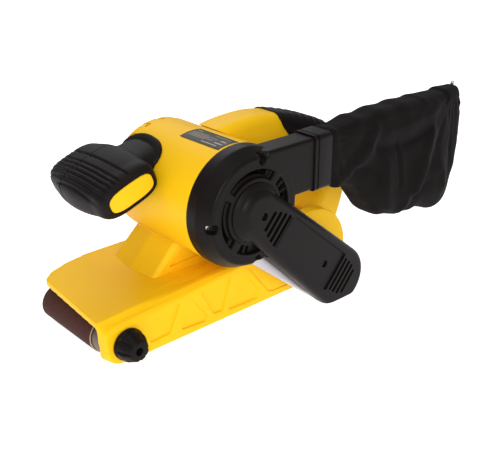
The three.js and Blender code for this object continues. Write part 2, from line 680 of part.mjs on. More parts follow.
// ---- Rear handle --------------------------------------------------------------------------
// Middle line of the rear handle and half its depth there: from the barrel, over, and down to the base.
const HANDLE_LINE = [
  [20, 136, 21.5],
  [44, 139.6, 21.5],
  [75, 141, 20.3],
  [112, 134.6, 17.8],
  [145, 121.5, 17.3],
  [164, 104.5, 16.5],
  [169, 84, 15.8],
  [163, 62, 18.2],
  [150, 40, 23],
];

const handleCurve = () =>
  new THREE.CatmullRomCurve3(HANDLE_LINE.map(([y, z, half]) => new THREE.Vector3(y, z, half)));

// Stations along the handle's line: place, unit normal in Y and Z, and half depth.
function handleStations(from, to) {
  const curve = handleCurve();
  const steps = 16;
  return Array.from({ length: steps + 1 }, (_, i) => {
    const t = from + ((to - from) * i) / steps;
    const at = curve.getPoint(t);
    const along = curve.getTangent(t);
    const size = Math.hypot(along.x, along.y);
    return { y: at.x, z: at.y, ny: -along.y / size, nz: along.x / size, half: at.z };
  });
}

// One edge of the handle, offset from its line by a share of the half depth and a distance.
const handleEdge = (share, extra, from = 0, to = 1) =>
  handleStations(from, to).map(({ y, z, ny, nz, half }) => {
    const offset = share * half + extra;
    return [y + ny * offset, z + nz * offset];
  });

// The handle's bar with chamfered corners, grown all round by grow.
function handleBar(grow, from = 0, to = 1) {
  const wide = HANDLE_HALF_WIDTH + grow;
  const chamfer = 8;
  const places = [];
  for (const { y, z, ny, nz, half } of handleStations(from, to)) {
    const deep = half + grow;
    const corners = [
      [wide, deep - chamfer],
      [wide - chamfer, deep],
      [chamfer - wide, deep],
      [-wide, deep - chamfer],
      [-wide, chamfer - deep],
      [chamfer - wide, -deep],
      [wide - chamfer, -deep],
      [wide, chamfer - deep],
    ];
    corners.forEach(([x, n]) => places.push(HANDLE_X + x, y + ny * n, z + nz * n));
  }
  const around = 8;
  const rings = places.length / 3 / around;
  const faces = [];
  for (let r = 0; r + 1 < rings; r++) {
    for (let c = 0; c < around; c++) {
      const a = r * around + c;
      const b = r * around + ((c + 1) % around);
      faces.push(a, b, a + around, b, b + around, a + around);
    }
  }
  for (let c = 1; c + 1 < around; c++) {
    const last = (rings - 1) * around;
    faces.push(0, c + 1, c, last, last + c, last + c + 1);
  }
  const geometry = new THREE.BufferGeometry();
  geometry.setAttribute("position", new THREE.Float32BufferAttribute(places, 3));
  geometry.setIndex(faces);
  return solid(geometry);
}

const SWITCH = { y0: 74, y1: 102, z0: 121, z1: 148 };

function makeRearHandle() {
  const bar = handleBar(0);
  const room = handleBar(-3.2);
  const barrel = barrelRoom(GAP);
  const ductRoom = box(DUCT.x0 - 3, 120, -60, 100, 100, 170);
  const lobe = rodX(REAR_LOBE_RADIUS + GAP, -60, 100, REAR_ROLLER_Y, REAR_TURN, 40);
  const under = box(-60, 100, -60, 130, 0, 60);
  const trigger = box(HANDLE_X - 7.4, HANDLE_X + 7.4, 75.6, 103.4, 105, 128);
  const lockHole = rodX(LOCK.radius + GAP, -20, HANDLE_X - 10, LOCK.y, LOCK.z, 18);
  const glandHole = rodY(7.3, 165, 200, HANDLE_X, GLAND_Z, 20);
  const shell = cut(bar, room, barrel, ductRoom, lobe, under);
  for (const [name, side] of [["left", 1], ["right", -1]]) {
    const seam = HANDLE_X + side * 0.15;
    const farSide = side > 0 ? box(seam, 60, -60, 260, 0, 200) : box(-60, seam, -60, 260, 0, 200);
    const half = shell.intersect(farSide);
    piece("handle_" + name, mainBody(cut(half, trigger, lockHole, glandHole)), yellow);
  }
  makeHandleGrip();
  makeSwitch();
}

function makeHandleGrip() {
  const skin = 1.2;
  const from = 0.29;
  const to = 0.7;
  const top = handleEdge(1, skin + 4, from, to);
  const low = handleEdge(0, -1, from + 0.03, to - 0.02).reverse();
  const reach = slab(outline([...top, ...low]), HANDLE_X - 30, HANDLE_X + 30);
  const lockRoom = rodX(LOCK.radius + 2, -20, HANDLE_X - 10, LOCK.y, LOCK.z, 18);
  const skinned = handleBar(skin).intersect(reach);
  piece("handle_grip", cut(skinned, handleBar(GAP), lockRoom), rubber);
}

function makeSwitch() {
  const body = box(HANDLE_X - 9, HANDLE_X + 9, SWITCH.y0, SWITCH.y1, SWITCH.z0 + 7.6, SWITCH.z1);
  piece("switch_body", body, black);
  const button = convex(
    [HANDLE_X - 7, HANDLE_X + 7].flatMap((x) => [
      [x, 76, SWITCH.z0 + 1],
      [x, 103, SWITCH.z0 + 1],
      [x, 76, 112],
      [x, 82, 110],
      [x, 98, 112],
      [x, 103, 117],
    ]),
  );
  piece("trigger", button, black);
  const rightFace = HANDLE_X - HANDLE_HALF_WIDTH;
  piece("lock_button", rodX(LOCK.radius, rightFace - 3.6, rightFace + 4, LOCK.y, LOCK.z, 20), black);
  const flange = rodY(7, 176, 182, HANDLE_X, GLAND_Z, 20);
  const sleeve = rodY(5.4, 181, 190, HANDLE_X, GLAND_Z, 20);
  const bore = rodY(3.6, 170, 195, HANDLE_X, 78, 16);
  piece("cord_gland", cut(join(flange, sleeve), bore), rubber);
}

// ---- Front handle -------------------------------------------------------------------------
const NECK_DEGREES = 139; // where the neck meets the barrel, round the motor's axis from +Y
const STUD_DEGREES = 152; // the stud through the barrel wall, measured the same way
const NECK_X = 12;

// A rod along the neck's axis, between two distances from the motor's axis.
function neckRod(radius, from, to) {
  const geometry = new THREE.CylinderGeometry(radius, radius, to - from, 14);
  geometry.translate(0, (from + to) / 2, 0);
  geometry.rotateX(THREE.MathUtils.degToRad(STUD_DEGREES));
  geometry.translate(NECK_X, 0, MOTOR_Z);
  return solid(geometry);
}

// A rounded section across the paddle at x, with the given half length and half thickness.
function paddleRing(x, halfLength, halfThickness) {
  const points = [];
  const corners = 12;
  for (let i = 0; i < corners; i++) {
    const angle = ((i + 0.5) * 2 * Math.PI) / corners;
    const squareness = 0.62;
    const u = halfLength * Math.sign(Math.cos(angle)) * Math.abs(Math.cos(angle)) ** squareness;
    const v = halfThickness * Math.sign(Math.sin(angle)) * Math.abs(Math.sin(angle)) ** squareness;
    points.push([
      x,
      PADDLE_Y + u * Math.cos(PADDLE_TILT) - v * Math.sin(PADDLE_TILT),
      PADDLE_Z + u * Math.sin(PADDLE_TILT) + v * Math.cos(PADDLE_TILT),
    ]);
  }
  return points;
}

function paddleSolid(shrink) {
  const stations = [
    [-35, 18.5, 8.6],
    [-31, 22, 11.5],
    [-16, 27.5, 15],
    [10, 31, 17],
    [36, 28.5, 15.5],
    [51, 25, 12.8],
    [54, 22.5, 10.4],
  ];
  const middle = (stations[0][0] + stations.at(-1)[0]) / 2;
  const half = (stations.at(-1)[0] - stations[0][0]) / 2;
  const scale = (half - shrink) / half;
  return convex(
    stations.flatMap(([x, length, thickness]) =>
      paddleRing(middle + (x - middle) * scale, length - shrink, thickness - shrink),
    ),
  );
}

function makeFrontHandle() {
  const flangeRing = (radius, wide, tall) =>
    Array.from({ length: 16 }, (_, i) => {
      const angle = (i * Math.PI) / 8;
      const point = new THREE.Vector3(wide * Math.cos(angle), radius, tall * Math.sin(angle));
      point.applyAxisAngle(new THREE.Vector3(1, 0, 0), THREE.MathUtils.degToRad(NECK_DEGREES));
      return [point.x + NECK_X, point.y, point.z + MOTOR_Z];
    });
  const neck = convex([
    ...flangeRing(40, 26, 17),
    ...flangeRing(51, 25, 16),
    ...paddleRing(NECK_X - 14, 14, 6).map(([x, y, z]) => [x, y + 14, z + 4]),
    ...paddleRing(NECK_X + 14, 14, 6).map(([x, y, z]) => [x, y + 14, z + 4]),
  ]);
  const core = paddleSolid(6);
  const neckRoom = neckGrown(neck);
  const insertRooms = [1, -1].map((side) => insertSolid(side, GAP));
  const stud = neckRod(4, BARREL_RADIUS - 3, BARREL_RADIUS + 12);
  const studRoom = neckRod(4.3, BARREL_RADIUS - 10, BARREL_RADIUS + 12.4);
  const body = cut(join(neck, core), barrelRoom(GAP), studRoom);
  piece("front_handle_body", body, black);
  const grip = cut(paddleSolid(0), paddleSolid(6 - GAP), neckRoom, ...insertRooms);
  piece("front_handle_grip", grip, rubber);
  piece("handle_insert_left", insertSolid(1, 0), insertYellow);
  piece("handle_insert_right", insertSolid(-1, 0), insertYellow);
  piece("front_handle_stud", stud, steel);
}

// The neck a little larger all round, as the clearance that the grip keeps to it.
function neckGrown(neck) {
  const size = neck.boundingBox();
  const middle = [0, 1, 2].map((i) => (size.min[i] + size.max[i]) / 2);
  const scale = [0, 1, 2].map((i) => 1 + (2 * GAP + 0.6) / (size.max[i] - size.min[i]));
  const back = middle.map((value) => -value);
  return neck.translate(back).scale(scale).translate(middle);
}

// The yellow plate let into one end of the paddle, on its left (1) or right (-1).
function insertSolid(side, grow) {
  const outer = side > 0 ? 53.4 : -34.4;
  const inner = outer - side * 2.2;
  const span = [inner - side * grow, outer + side * (grow ? 2 : 0)];
  const half = side > 0 ? [20.8, 8.6] : [16.8, 7];
  const rings = span.flatMap((x) => paddleRing(x, half[0] + grow, half[1] + grow));
  return convex(rings);
}

// ---- Dust bag -----------------------------------------------------------------------------
function makeDustBag() {
  const { x0, x1, z0, z1 } = DUCT;
  const outer = box(x0 - 2.2, x1 + 2.2, COLLAR_FRONT_Y, COLLAR_REAR_Y + 8, z0 - 2.2, z1 + 2.2);
  const bore = box(x0 - GAP, x1 + GAP, COLLAR_FRONT_Y - 1, DUCT.y1 + GAP, z0 - GAP, z1 + GAP);
  const through = box(x0 + 3, x1 - 3, COLLAR_FRONT_Y - 1, COLLAR_REAR_Y + 20, z0 + 3, z1 - 3);
  const waist = cut(
    box(x0 - 6, x1 + 6, COLLAR_REAR_Y, COLLAR_REAR_Y + 9, z0 - 6, z1 + 6),
    box(x0 + 0.8, x1 - 0.8, COLLAR_REAR_Y - 1, COLLAR_REAR_Y + 10, z0 + 0.8, z1 - 0.8),
  );
  piece("bag_collar", cut(outer, bore, through, waist), black);
  const spigot = box(x0 + 0.5, x1 - 0.5, COLLAR_REAR_Y - 1, COLLAR_REAR_Y + 8.4, z0 + 0.5, z1 - 0.5);
  const bag = cut(bagSolid(0), bagSolid(2.2), spigot);
  piece("dust_bag", bag, cloth);
  const tab = box(95.1, 98.9, 265.6, 267.2, 163, 169.4);
  piece("zip_pull", cut(tab, rodY(0.9, 260, 280, 97, 168, 8)), steel);
}

// The bag's outer form, or its inside when drawn in by the cloth's thickness.
function bagSolid(inset) {
  const stations = [
    { y: 87, half: 13.6, top: 161, low: 111.5 },
    { y: 106, half: 16.5, top: 162.5, low: 107 },
    { y: 127, half: 20, top: 163.6, low: 93 },
    { y: 151, half: 22, top: 164.5, low: 68 },
    { y: 205, half: 23, top: 164, low: 56 },
    { y: 243, half: 20, top: 162, low: 51 },
    { y: 267, half: 12.5, top: 160, low: 67 },
    { y: 281, half: 5, top: 151, low: 100 },
  ];
  const middleX = 97.5;
  const ring = ({ y, half, top, low }) => {
    const shift = y < 90 && inset ? -3 : 0;
    const points = [];
    for (let i = 0; i < 12; i++) {
      const angle = (i * Math.PI) / 6 + Math.PI / 12;
      const across = Math.sign(Math.cos(angle)) * Math.abs(Math.cos(angle)) ** 0.6;
      const up = Math.sign(Math.sin(angle)) * Math.abs(Math.sin(angle)) ** 0.6;
      points.push([
        middleX + (half - inset) * across * 1.05,
        y + shift,
        (top + low) / 2 + ((top - low) / 2 - inset) * up * 1.05,
      ]);
    }
    return points;
  };
  const rings = stations.map((station, i) =>
    ring(inset && i === stations.length - 1 ? { ...station, y: station.y - 3 } : station),
  );
  const hulls = rings.slice(1).map((after, i) => convex([...rings[i], ...after]));
  return join(...hulls);
}

makeBelt();
makeFrame();
makeFrontRoller();
makeTensionLever();
makeDriveRoller();
makeMotor();
makeMotorHousing();
makeEndCap();
makeFanHousing();
makeDriveArm();
makeBaseCover();
makeTrackingKnob();
makeRearHandle();
makeFrontHandle();
makeDustBag();

export default sander;
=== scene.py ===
"""Visual model of a handheld belt sander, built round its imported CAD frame.
Shapes are made in millimetres and scaled to metres when a piece is finished."""

import math

import bmesh
import bpy
import numpy as np
from mathutils import Matrix, Vector


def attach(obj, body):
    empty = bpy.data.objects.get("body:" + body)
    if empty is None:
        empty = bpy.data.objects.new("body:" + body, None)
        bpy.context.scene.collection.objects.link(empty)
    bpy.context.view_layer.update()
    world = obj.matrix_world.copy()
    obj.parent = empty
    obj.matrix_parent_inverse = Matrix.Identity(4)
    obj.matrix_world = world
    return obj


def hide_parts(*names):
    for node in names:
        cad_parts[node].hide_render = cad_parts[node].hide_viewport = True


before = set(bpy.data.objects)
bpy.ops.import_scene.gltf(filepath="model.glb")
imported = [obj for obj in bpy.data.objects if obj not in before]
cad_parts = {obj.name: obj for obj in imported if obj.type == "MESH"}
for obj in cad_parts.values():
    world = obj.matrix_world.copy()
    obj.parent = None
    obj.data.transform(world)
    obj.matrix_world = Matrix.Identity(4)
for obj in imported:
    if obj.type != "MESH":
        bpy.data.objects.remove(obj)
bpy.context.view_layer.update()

MM = 0.001
MOTOR_Z = 112.5
BARREL = 49.3  # outer radius of the motor barrel
REAR_Y, REAR_Z = 103.5, 20.0  # axis of the drive drum
FRONT_Y, FRONT_Z = -102.0, 16.0  # axis of the front roller
BELT_X, BELT_HALF = 8.0, 37.5
ARM_TURN = -math.atan2(MOTOR_Z - REAR_Z, REAR_Y)
ARM_SPAN = math.hypot(MOTOR_Z - REAR_Z, REAR_Y)
ARM_RADIUS = 28.4  # of the drive arm's lower end
HANDLE_X, HANDLE_WIDE = 26.0, 17.5  # the rear handle's middle plane and half width
PADDLE = (-75.0, 131.5, math.radians(20))  # the front handle's middle (y, z) and tilt
DUCT_X, DUCT_Z, DUCT_END = (87.0, 109.5), (114.0, 158.5), 82.0
SIDE_X = 74.0  # outer face of the base's left wall
KNOB_Y, KNOB_Z = -101.5, 20.0
LOCK_YZ = (84, 139)
GLAND_Z = 78


# ---- Mesh helpers ---------------------------------------------------------------------------
def add_object(name, data):
    obj = bpy.data.objects.new(name, data)
    bpy.context.scene.collection.objects.link(obj)
    return obj


def mesh_object(verts, faces):
    mesh = bpy.data.meshes.new("shape")
    mesh.from_pydata([tuple(map(float, v)) for v in verts], [], faces)
    bm = bmesh.new()
    bm.from_mesh(mesh)
    bmesh.ops.recalc_face_normals(bm, faces=bm.faces)
    bm.to_mesh(mesh)
    bm.free()
    return add_object("shape", mesh)


def loft(rings, loop=False):
    """Skin over rings of points; the ends are closed, or the last ring joins the first."""
    rings = np.array(rings, float)
    count, around = rings.shape[:2]
    faces = []
    for r in range(count if loop else count - 1):
        a, b = r * around, ((r + 1) % count) * around
        faces += [
            (a + i, a + (i + 1) % around, b + (i + 1) % around, b + i)
            for i in range(around)
        ]
    if not loop:
        faces.append(tuple(range(around)))
        faces.append(tuple(range((count - 1) * around, count * around)))
    return mesh_object(rings.reshape(-1, 3), faces)


def lathe(profile, y=0.0, z=0.0, sides=96, loop=False):
    """A profile of (radius, x) turned about the line along X through y, z."""
    angle = np.arange(sides) * 2 * np.pi / sides
    rings = []
    for radius, x in profile:
        radius = max(radius, 0.02)
        across, up = radius * np.cos(angle), radius * np.sin(angle)
        rings.append(np.stack([np.full(sides, x), y + across, z + up], 1))
    return loft(rings, loop)


def rod(radius, x0, x1, y=0.0, z=0.0, sides=64):
    return lathe([(radius, x0), (radius, x1)], y, z, sides)


def tube(outer, inner, x0, x1, y=0.0, z=0.0, sides=96):
    profile = [(outer, x0), (outer, x1), (inner, x1), (inner, x0)]
    return lathe(profile, y, z, sides, loop=True)


def prism(points, low, high, axis="x"):
    """A polygon swept along an axis: points are (y, z) for x, (x, z) for y and (x, y) for z."""
    place = {
        "x": lambda a, b, c: (c, a, b),
        "y": lambda a, b, c: (a, c, b),
        "z": lambda a, b, c: (a, b, c),
    }[axis]
    return loft([[place(a, b, c) for a, b in points] for c in (low, high)])


def block(x0, x1, y0, y1, z0, z1):
    return prism([(y0, z0), (y1, z0), (y1, z1), (y0, z1)], x0, x1)


def hull(points):
    bm = bmesh.new()
    for p in points:
        bm.verts.new([float(v) for v in p])
    out = bmesh.ops.convex_hull(bm, input=bm.verts)
    loose = out["geom_interior"] + out["geom_unused"]
    spare = {g for g in loose if isinstance(g, bmesh.types.BMVert)}
    bmesh.ops.delete(bm, geom=list(spare), context="VERTS")
    mesh = bpy.data.meshes.new("hull")
    bmesh.ops.recalc_face_normals(bm, faces=bm.faces)
    bm.to_mesh(mesh)
    bm.free()
    return add_object("hull", mesh)


def bake(obj):
    """Applies the object's modifiers."""
    graph = bpy.context.evaluated_depsgraph_get()
    mesh = bpy.data.meshes.new_from_object(obj.evaluated_get(graph))
    obj.modifiers.clear()
    old, obj.data = obj.data, mesh
    bpy.data.meshes.remove(old)
    return obj


def boolean(base, how, tools):
    for tool in tools:
        step = base.modifiers.new(how, "BOOLEAN")
        step.operation, step.object, step.solver = how, tool, "MANIFOLD"
    bake(base)
    for tool in tools:
        bpy.data.objects.remove(tool)
    return base


def join(base, *tools):
    return boolean(base, "UNION", tools)


def cut(base, *tools):
    return boolean(base, "DIFFERENCE", tools)


def common(base, *tools):
    return boolean(base, "INTERSECT", tools)


def soften(obj, voxel, rounds, keep=1.0):
    """Even mesh with every edge rounded over, as a moulded part has; keep thins it out again."""
    remesh = obj.modifiers.new("even", "REMESH")
    remesh.mode, remesh.voxel_size = "VOXEL", voxel
    smooth = obj.modifiers.new("round", "SMOOTH")
    smooth.factor, smooth.iterations = 0.5, rounds
    if keep < 1:
        thin = obj.modifiers.new("thin", "DECIMATE")
        thin.ratio = keep
    return bake(obj)


def turned(obj, angle, y=0.0, z=0.0):
    """Turns a shape about X and then moves it."""
    obj.data.transform(Matrix.Translation((0, y, z)) @ Matrix.Rotation(angle, 4, "X"))
    return obj


def spline(knots, values, at):
    """Smooth curve through rows of values at the knots."""
    knots, values, at = np.array(knots, float), np.array(values, float), np.array(at, float)
    slopes = np.gradient(values, knots, axis=0)
    i = np.clip(np.searchsorted(knots, at) - 1, 0, len(knots) - 2)
    step = (knots[i + 1] - knots[i])[:, None]
    t = ((at - knots[i]) / step[:, 0])[:, None]
    start = (2 * t**3 - 3 * t**2 + 1) * values[i] + (t**3 - 2 * t**2 + t) * step * slopes[i]
    end = (3 * t**2 - 2 * t**3) * values[i + 1] + (t**3 - t**2) * step * slopes[i + 1]
    return start + end


def arc(y, z, radius, start, stop, steps=24):
    angles = np.radians(np.linspace(start, stop, steps + 1))
    return [(y + radius * math.cos(a), z + radius * math.sin(a)) for a in angles]


def rounded(points, radius, steps=6):
    """A polygon with its corners rounded; radius is one number or one for each corner."""
    out = []
    for i, p in enumerate(points):
        p = Vector(p)
        before, after = Vector(points[i - 1]) - p, Vector(points[(i + 1) % len(points)]) - p
        r = radius[i] if hasattr(radius, "__len__") else radius
        half = before.angle(after) / 2
        reach = min(r / math.tan(half), 0.49 * before.length, 0.49 * after.length)
        a, b = p + before.normalized() * reach, p + after.normalized() * reach
        for s in np.linspace(0, 1, steps + 1):
            q = a * (1 - s) ** 2 + p * 2 * s * (1 - s) + b * s**2
            out.append((q.x, q.y))
    return out


def round_rect(wide, deep, radius, steps=8):
    """Half width, half depth and corner radius, as (across, up) points."""
    corners = [(wide, deep), (-wide, deep), (-wide, -deep), (wide, -deep)]
    return rounded(corners, radius, steps)


def band(radius0, radius1, span, steps=28):
    """Outline of a band round two circles, the second at span along the first axis."""
    lean = math.degrees(math.asin((radius1 - radius0) / span))
    first = arc(0, 0, radius0, 90 + lean, 270 - lean, steps)
    return first + arc(span, 0, radius1, -90 - lean, 90 + lean, steps)


def groove(points, width, x0, x1):
    """Cutters for a groove that follows a line on a face square to X."""
    out = []
    for (y0, z0), (y1, z1) in zip(points, points[1:]):
        turn = math.degrees(math.atan2(z1 - z0, y1 - y0))
        outline = arc(y0, z0, width / 2, turn + 90, turn + 270, 6)
        outline += arc(y1, z1, width / 2, turn - 90, turn + 90, 6)
        out.append(prism(outline, x0, x1))
    return out


# ---- Materials ------------------------------------------------------------------------------
def node(tree, kind, **values):
    """A new node; a value goes to the input of that name, or else to the attribute."""
    made = tree.nodes.new(kind)
    for key, value in values.items():
        if key in made.inputs:
            made.inputs[key].default_value = value
        else:
            setattr(made, key, value)
    return made


def surface(name, color, second, rough, metal=0.0, patch=18.0, spread=0.06, **extra):
    """A material whose colour and roughness drift between two values, with the links for bumps."""
    material = bpy.data.materials.new(name)
    material.use_nodes = True
    tree = material.node_tree
    shader = tree.nodes["Principled BSDF"]
    where = node(tree, "ShaderNodeTexCoord")
    drift = node(tree, "ShaderNodeTexNoise", Scale=patch, Detail=4.0, Roughness=0.6)
    tree.links.new(where.outputs["Object"], drift.inputs["Vector"])
    mix = node(tree, "ShaderNodeMix", data_type="RGBA")
    mix.inputs["A"].default_value = (*color, 1)
    mix.inputs["B"].default_value = (*second, 1)
    tree.links.new(drift.outputs["Fac"], mix.inputs["Factor"])
    tree.links.new(mix.outputs["Result"], shader.inputs["Base Color"])
    sheen = node(tree, "ShaderNodeMapRange")
    sheen.inputs["To Min"].default_value = rough - spread
    sheen.inputs["To Max"].default_value = rough + spread
    tree.links.new(drift.outputs["Fac"], sheen.inputs["Value"])
    tree.links.new(sheen.outputs["Result"], shader.inputs["Roughness"])
    shader.inputs["Metallic"].default_value = metal
    for key, value in extra.items():
        shader.inputs[key.replace("_", " ")].default_value = value
    return material, tree, shader, where, mix


def bump(tree, shader, height, strength, distance):
    made = node(tree, "ShaderNodeBump", Strength=strength, Distance=distance)
    tree.links.new(height, made.inputs["Height"])
    tree.links.new(made.outputs["Normal"], shader.inputs["Normal"])


def grain_bump(tree, shader, where, scale, strength, distance, kind="noise"):
    if kind == "noise":
        grain = node(tree, "ShaderNodeTexNoise", Scale=scale, Detail=3.0)
        out = grain.outputs["Fac"]
    else:
        grain = node(tree, "ShaderNodeTexVoronoi", Scale=scale)
        out = grain.outputs["Distance"]
    tree.links.new(where.outputs["Object"], grain.inputs["Vector"])
    bump(tree, shader, out, strength, distance)


def moulded(name, color, second, rough, grain=1500.0, depth=0.00005, **extra):
    material, tree, shader, where, _ = surface(name, color, second, rough, **extra)
    grain_bump(tree, shader, where, grain, 0.35, depth)
    return material


def brushed(name, color, second, rough, stretch=(900.0, 40.0, 40.0)):
    material, tree, shader, where, _ = surface(name, color, second, rough, metal=1.0)
    lines = node(tree, "ShaderNodeTexNoise", Scale=1.0, Detail=4.0)
    size = node(tree, "ShaderNodeMapping")
    size.inputs["Scale"].default_value = stretch
    tree.links.new(where.outputs["Object"], size.inputs["Vector"])
    tree.links.new(size.outputs["Vector"], lines.inputs["Vector"])
    bump(tree, shader, lines.outputs["Fac"], 0.25, 0.00004)
    return material


def grit(name):
    material, tree, shader, where, mix = surface(
        name, (0.062, 0.009, 0.005), (0.032, 0.005, 0.003), 0.95, patch=260.0, spread=0.05
    )
    speck = node(tree, "ShaderNodeTexVoronoi", Scale=1900.0)
    tree.links.new(where.outputs["Object"], speck.inputs["Vector"])
    pale = node(tree, "ShaderNodeMix", data_type="RGBA")
    pale.inputs["A"].default_value = (0.085, 0.022, 0.013, 1)
    edge = node(tree, "ShaderNodeMapRange")
    edge.inputs["From Max"].default_value = 0.35
    tree.links.new(speck.outputs["Distance"], edge.inputs["Value"])
    tree.links.new(edge.outputs["Result"], pale.inputs["Factor"])
    tree.links.new(mix.outputs["Result"], pale.inputs["B"])
    tree.links.new(pale.outputs["Result"], shader.inputs["Base Color"])
    bump(tree, shader, speck.outputs["Distance"], 0.9, 0.00025)
    return material


def woven(name, color, second):
    """Plain weave from two crossed waves, with sheen."""
    material, tree, shader, where, _ = surface(name, color, second, 0.9, patch=45.0, spread=0.05)
    shader.inputs["Specular IOR Level"].default_value = 0.07
    shader.inputs["Sheen Weight"].default_value = 0.025
    shader.inputs["Sheen Roughness"].default_value = 0.5
    sums = []
    for direction in ("Y", "Z"):
        wave = node(tree, "ShaderNodeTexWave", Scale=310.0, Distortion=0.6, Detail=1.0)
        wave.bands_direction = direction
        tree.links.new(where.outputs["Object"], wave.inputs["Vector"])
        sums.append(wave.outputs["Fac"])
    both = node(tree, "ShaderNodeMath", operation="MULTIPLY")
    tree.links.new(sums[0], both.inputs[0])
    tree.links.new(sums[1], both.inputs[1])
    bump(tree, shader, both.outputs["Value"], 0.5, 0.00025)
    return material


def layered(name, color, second):
    """Steel sheets stacked along X."""
    material, tree, shader, where, _ = surface(name, color, second, 0.5, metal=0.9)
    wave = node(tree, "ShaderNodeTexWave", Scale=600.0, bands_direction="X")
    tree.links.new(where.outputs["Object"], wave.inputs["Vector"])
    bump(tree, shader, wave.outputs["Fac"], 0.5, 0.0002)
    return material


def crumbly(name, color, second, scale, rough=0.9):
    material, tree, shader, where, _ = surface(name, color, second, rough, patch=scale / 4)
    grain_bump(tree, shader, where, scale, 0.6, 0.0003, "cells")
    return material


YELLOW = moulded(
    "yellow_plastic", (0.92, 0.535, 0.008), (0.86, 0.49, 0.006), 0.42, Specular_IOR_Level=0.1,
)
INSERT = moulded(
    "insert_plastic", (0.90, 0.53, 0.012), (0.86, 0.49, 0.010), 0.45, Specular_IOR_Level=0.1,
)
BLACK = moulded(
    "black_plastic", (0.0055, 0.0038, 0.0038), (0.0085, 0.0062, 0.0062), 0.4, 1300.0, 0.00007,
    Specular_IOR_Level=0.09,
)
RUBBER = moulded(
    "rubber", (0.0065, 0.0046, 0.0048), (0.010, 0.0074, 0.0076), 0.5, 1700.0, 0.00009,
    Specular_IOR_Level=0.09,
)
ALLOY = moulded(
    "cast_alloy", (0.60, 0.57, 0.60), (0.50, 0.475, 0.50), 0.38, 700.0, 0.00012, metal=1.0,
)
STEEL = brushed("steel", (0.58, 0.56, 0.57), (0.48, 0.465, 0.47), 0.3)
DARK_STEEL = brushed("dark_steel", (0.10, 0.097, 0.10), (0.07, 0.068, 0.07), 0.5)
ROLLER = brushed("roller_steel", (0.20, 0.165, 0.145), (0.14, 0.115, 0.10), 0.5)
LAMINATIONS = layered("laminations", (0.26, 0.25, 0.25), (0.17, 0.16, 0.16))
COPPER = brushed("copper", (0.72, 0.33, 0.18), (0.60, 0.26, 0.13), 0.32)
CARBON = crumbly("carbon", (0.02, 0.02, 0.022), (0.035, 0.035, 0.037), 1600.0)
GRIT = grit("abrasive_grit")
CORK = crumbly("cork", (0.34, 0.22, 0.12), (0.22, 0.135, 0.07), 700.0)
CLOTH = woven("bag_cloth", (0.0050, 0.0036, 0.0038), (0.0085, 0.0064, 0.0066))
LABEL = moulded(
    "label_black", (0.012, 0.012, 0.013), (0.02, 0.019, 0.02), 0.3, Specular_IOR_Level=0.12,
)
PRINT = moulded("label_print", (0.33, 0.27, 0.13), (0.22, 0.19, 0.10), 0.35)
BACKING = crumbly("belt_backing", (0.55, 0.38, 0.25), (0.42, 0.28, 0.18), 900.0, 0.85)


def finish(obj, name, body, nodes, slot, *materials, sharp=None):
    """Scales a shape to metres, gives it its body and materials, and hides its CAD nodes; slot is
    not used.
    """
    obj.name = name
    obj.data.transform(Matrix.Scale(MM, 4))
    obj.data.name = name
    if len(obj.data.materials) != len(materials):
        obj.data.materials.clear()
        for material in materials:
            obj.data.materials.append(material)
    else:
        for i, material in enumerate(materials):
            obj.data.materials[i] = material
    obj.data.polygons.foreach_set("use_smooth", [True] * len(obj.data.polygons))
    if sharp:
        obj.data.set_sharp_from_angle(angle=math.radians(sharp))
    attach(obj, body)
    if nodes:
        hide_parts(*nodes)
    return obj


# ---- Base -----------------------------------------------------------------------------------
def side_box(inset):
    """The hollow box along the left side, drawn in by inset for its inside."""
    x, right = SIDE_X - inset, 64.4 - (8 if inset else 0)
    low, y = (-5 if inset else 3), -123 + inset
    front_corner = [
        (y + 4, 33 - inset), (y + 2.4, 26), (y + 2.8, 18 + inset), (y + 5 - inset / 3, 11),
        (-114 + inset, 6.5),
    ]
    points = [(x, -100, low), (x, -109 + inset, low + 1.2), (x, -112, 34 - inset)]
    points += [(x, a, b) for a, b in front_corner]
    points += [(x, 90, 54 - inset), (x, 134 - inset, 30), (x, 134 - inset, low)]
    points += [(right, -100, low), (right, -112 + inset, low + 2), (right, -120.5 + inset, 10)]
    points += [
        (right, y, 40.2 - inset), (66 - inset / 2, y, 40.2 - inset), (right, 40, 47 - inset),
    ]
    points += [(right, 90, 54 - inset), (right, 134 - inset, low)]
    return hull(points)


# The shoulder between deck and left wall: y, inner edge, and heights there and at the wall.
SHOULDER = [
    (-121.4, 66, 39.6, 34.6),
    (-118, 61.5, 41.7, 36.4),
    (-108, 58.5, 43.1, 37.6),
    (-86, 56, 44.6, 39.6),
    (-44, 54, 45.6, 42.4),
    (-3, 49, 46, 46.5),
    (40, 47, 45.8, 50.4),
    (90, 46, 46.3, 54),
]


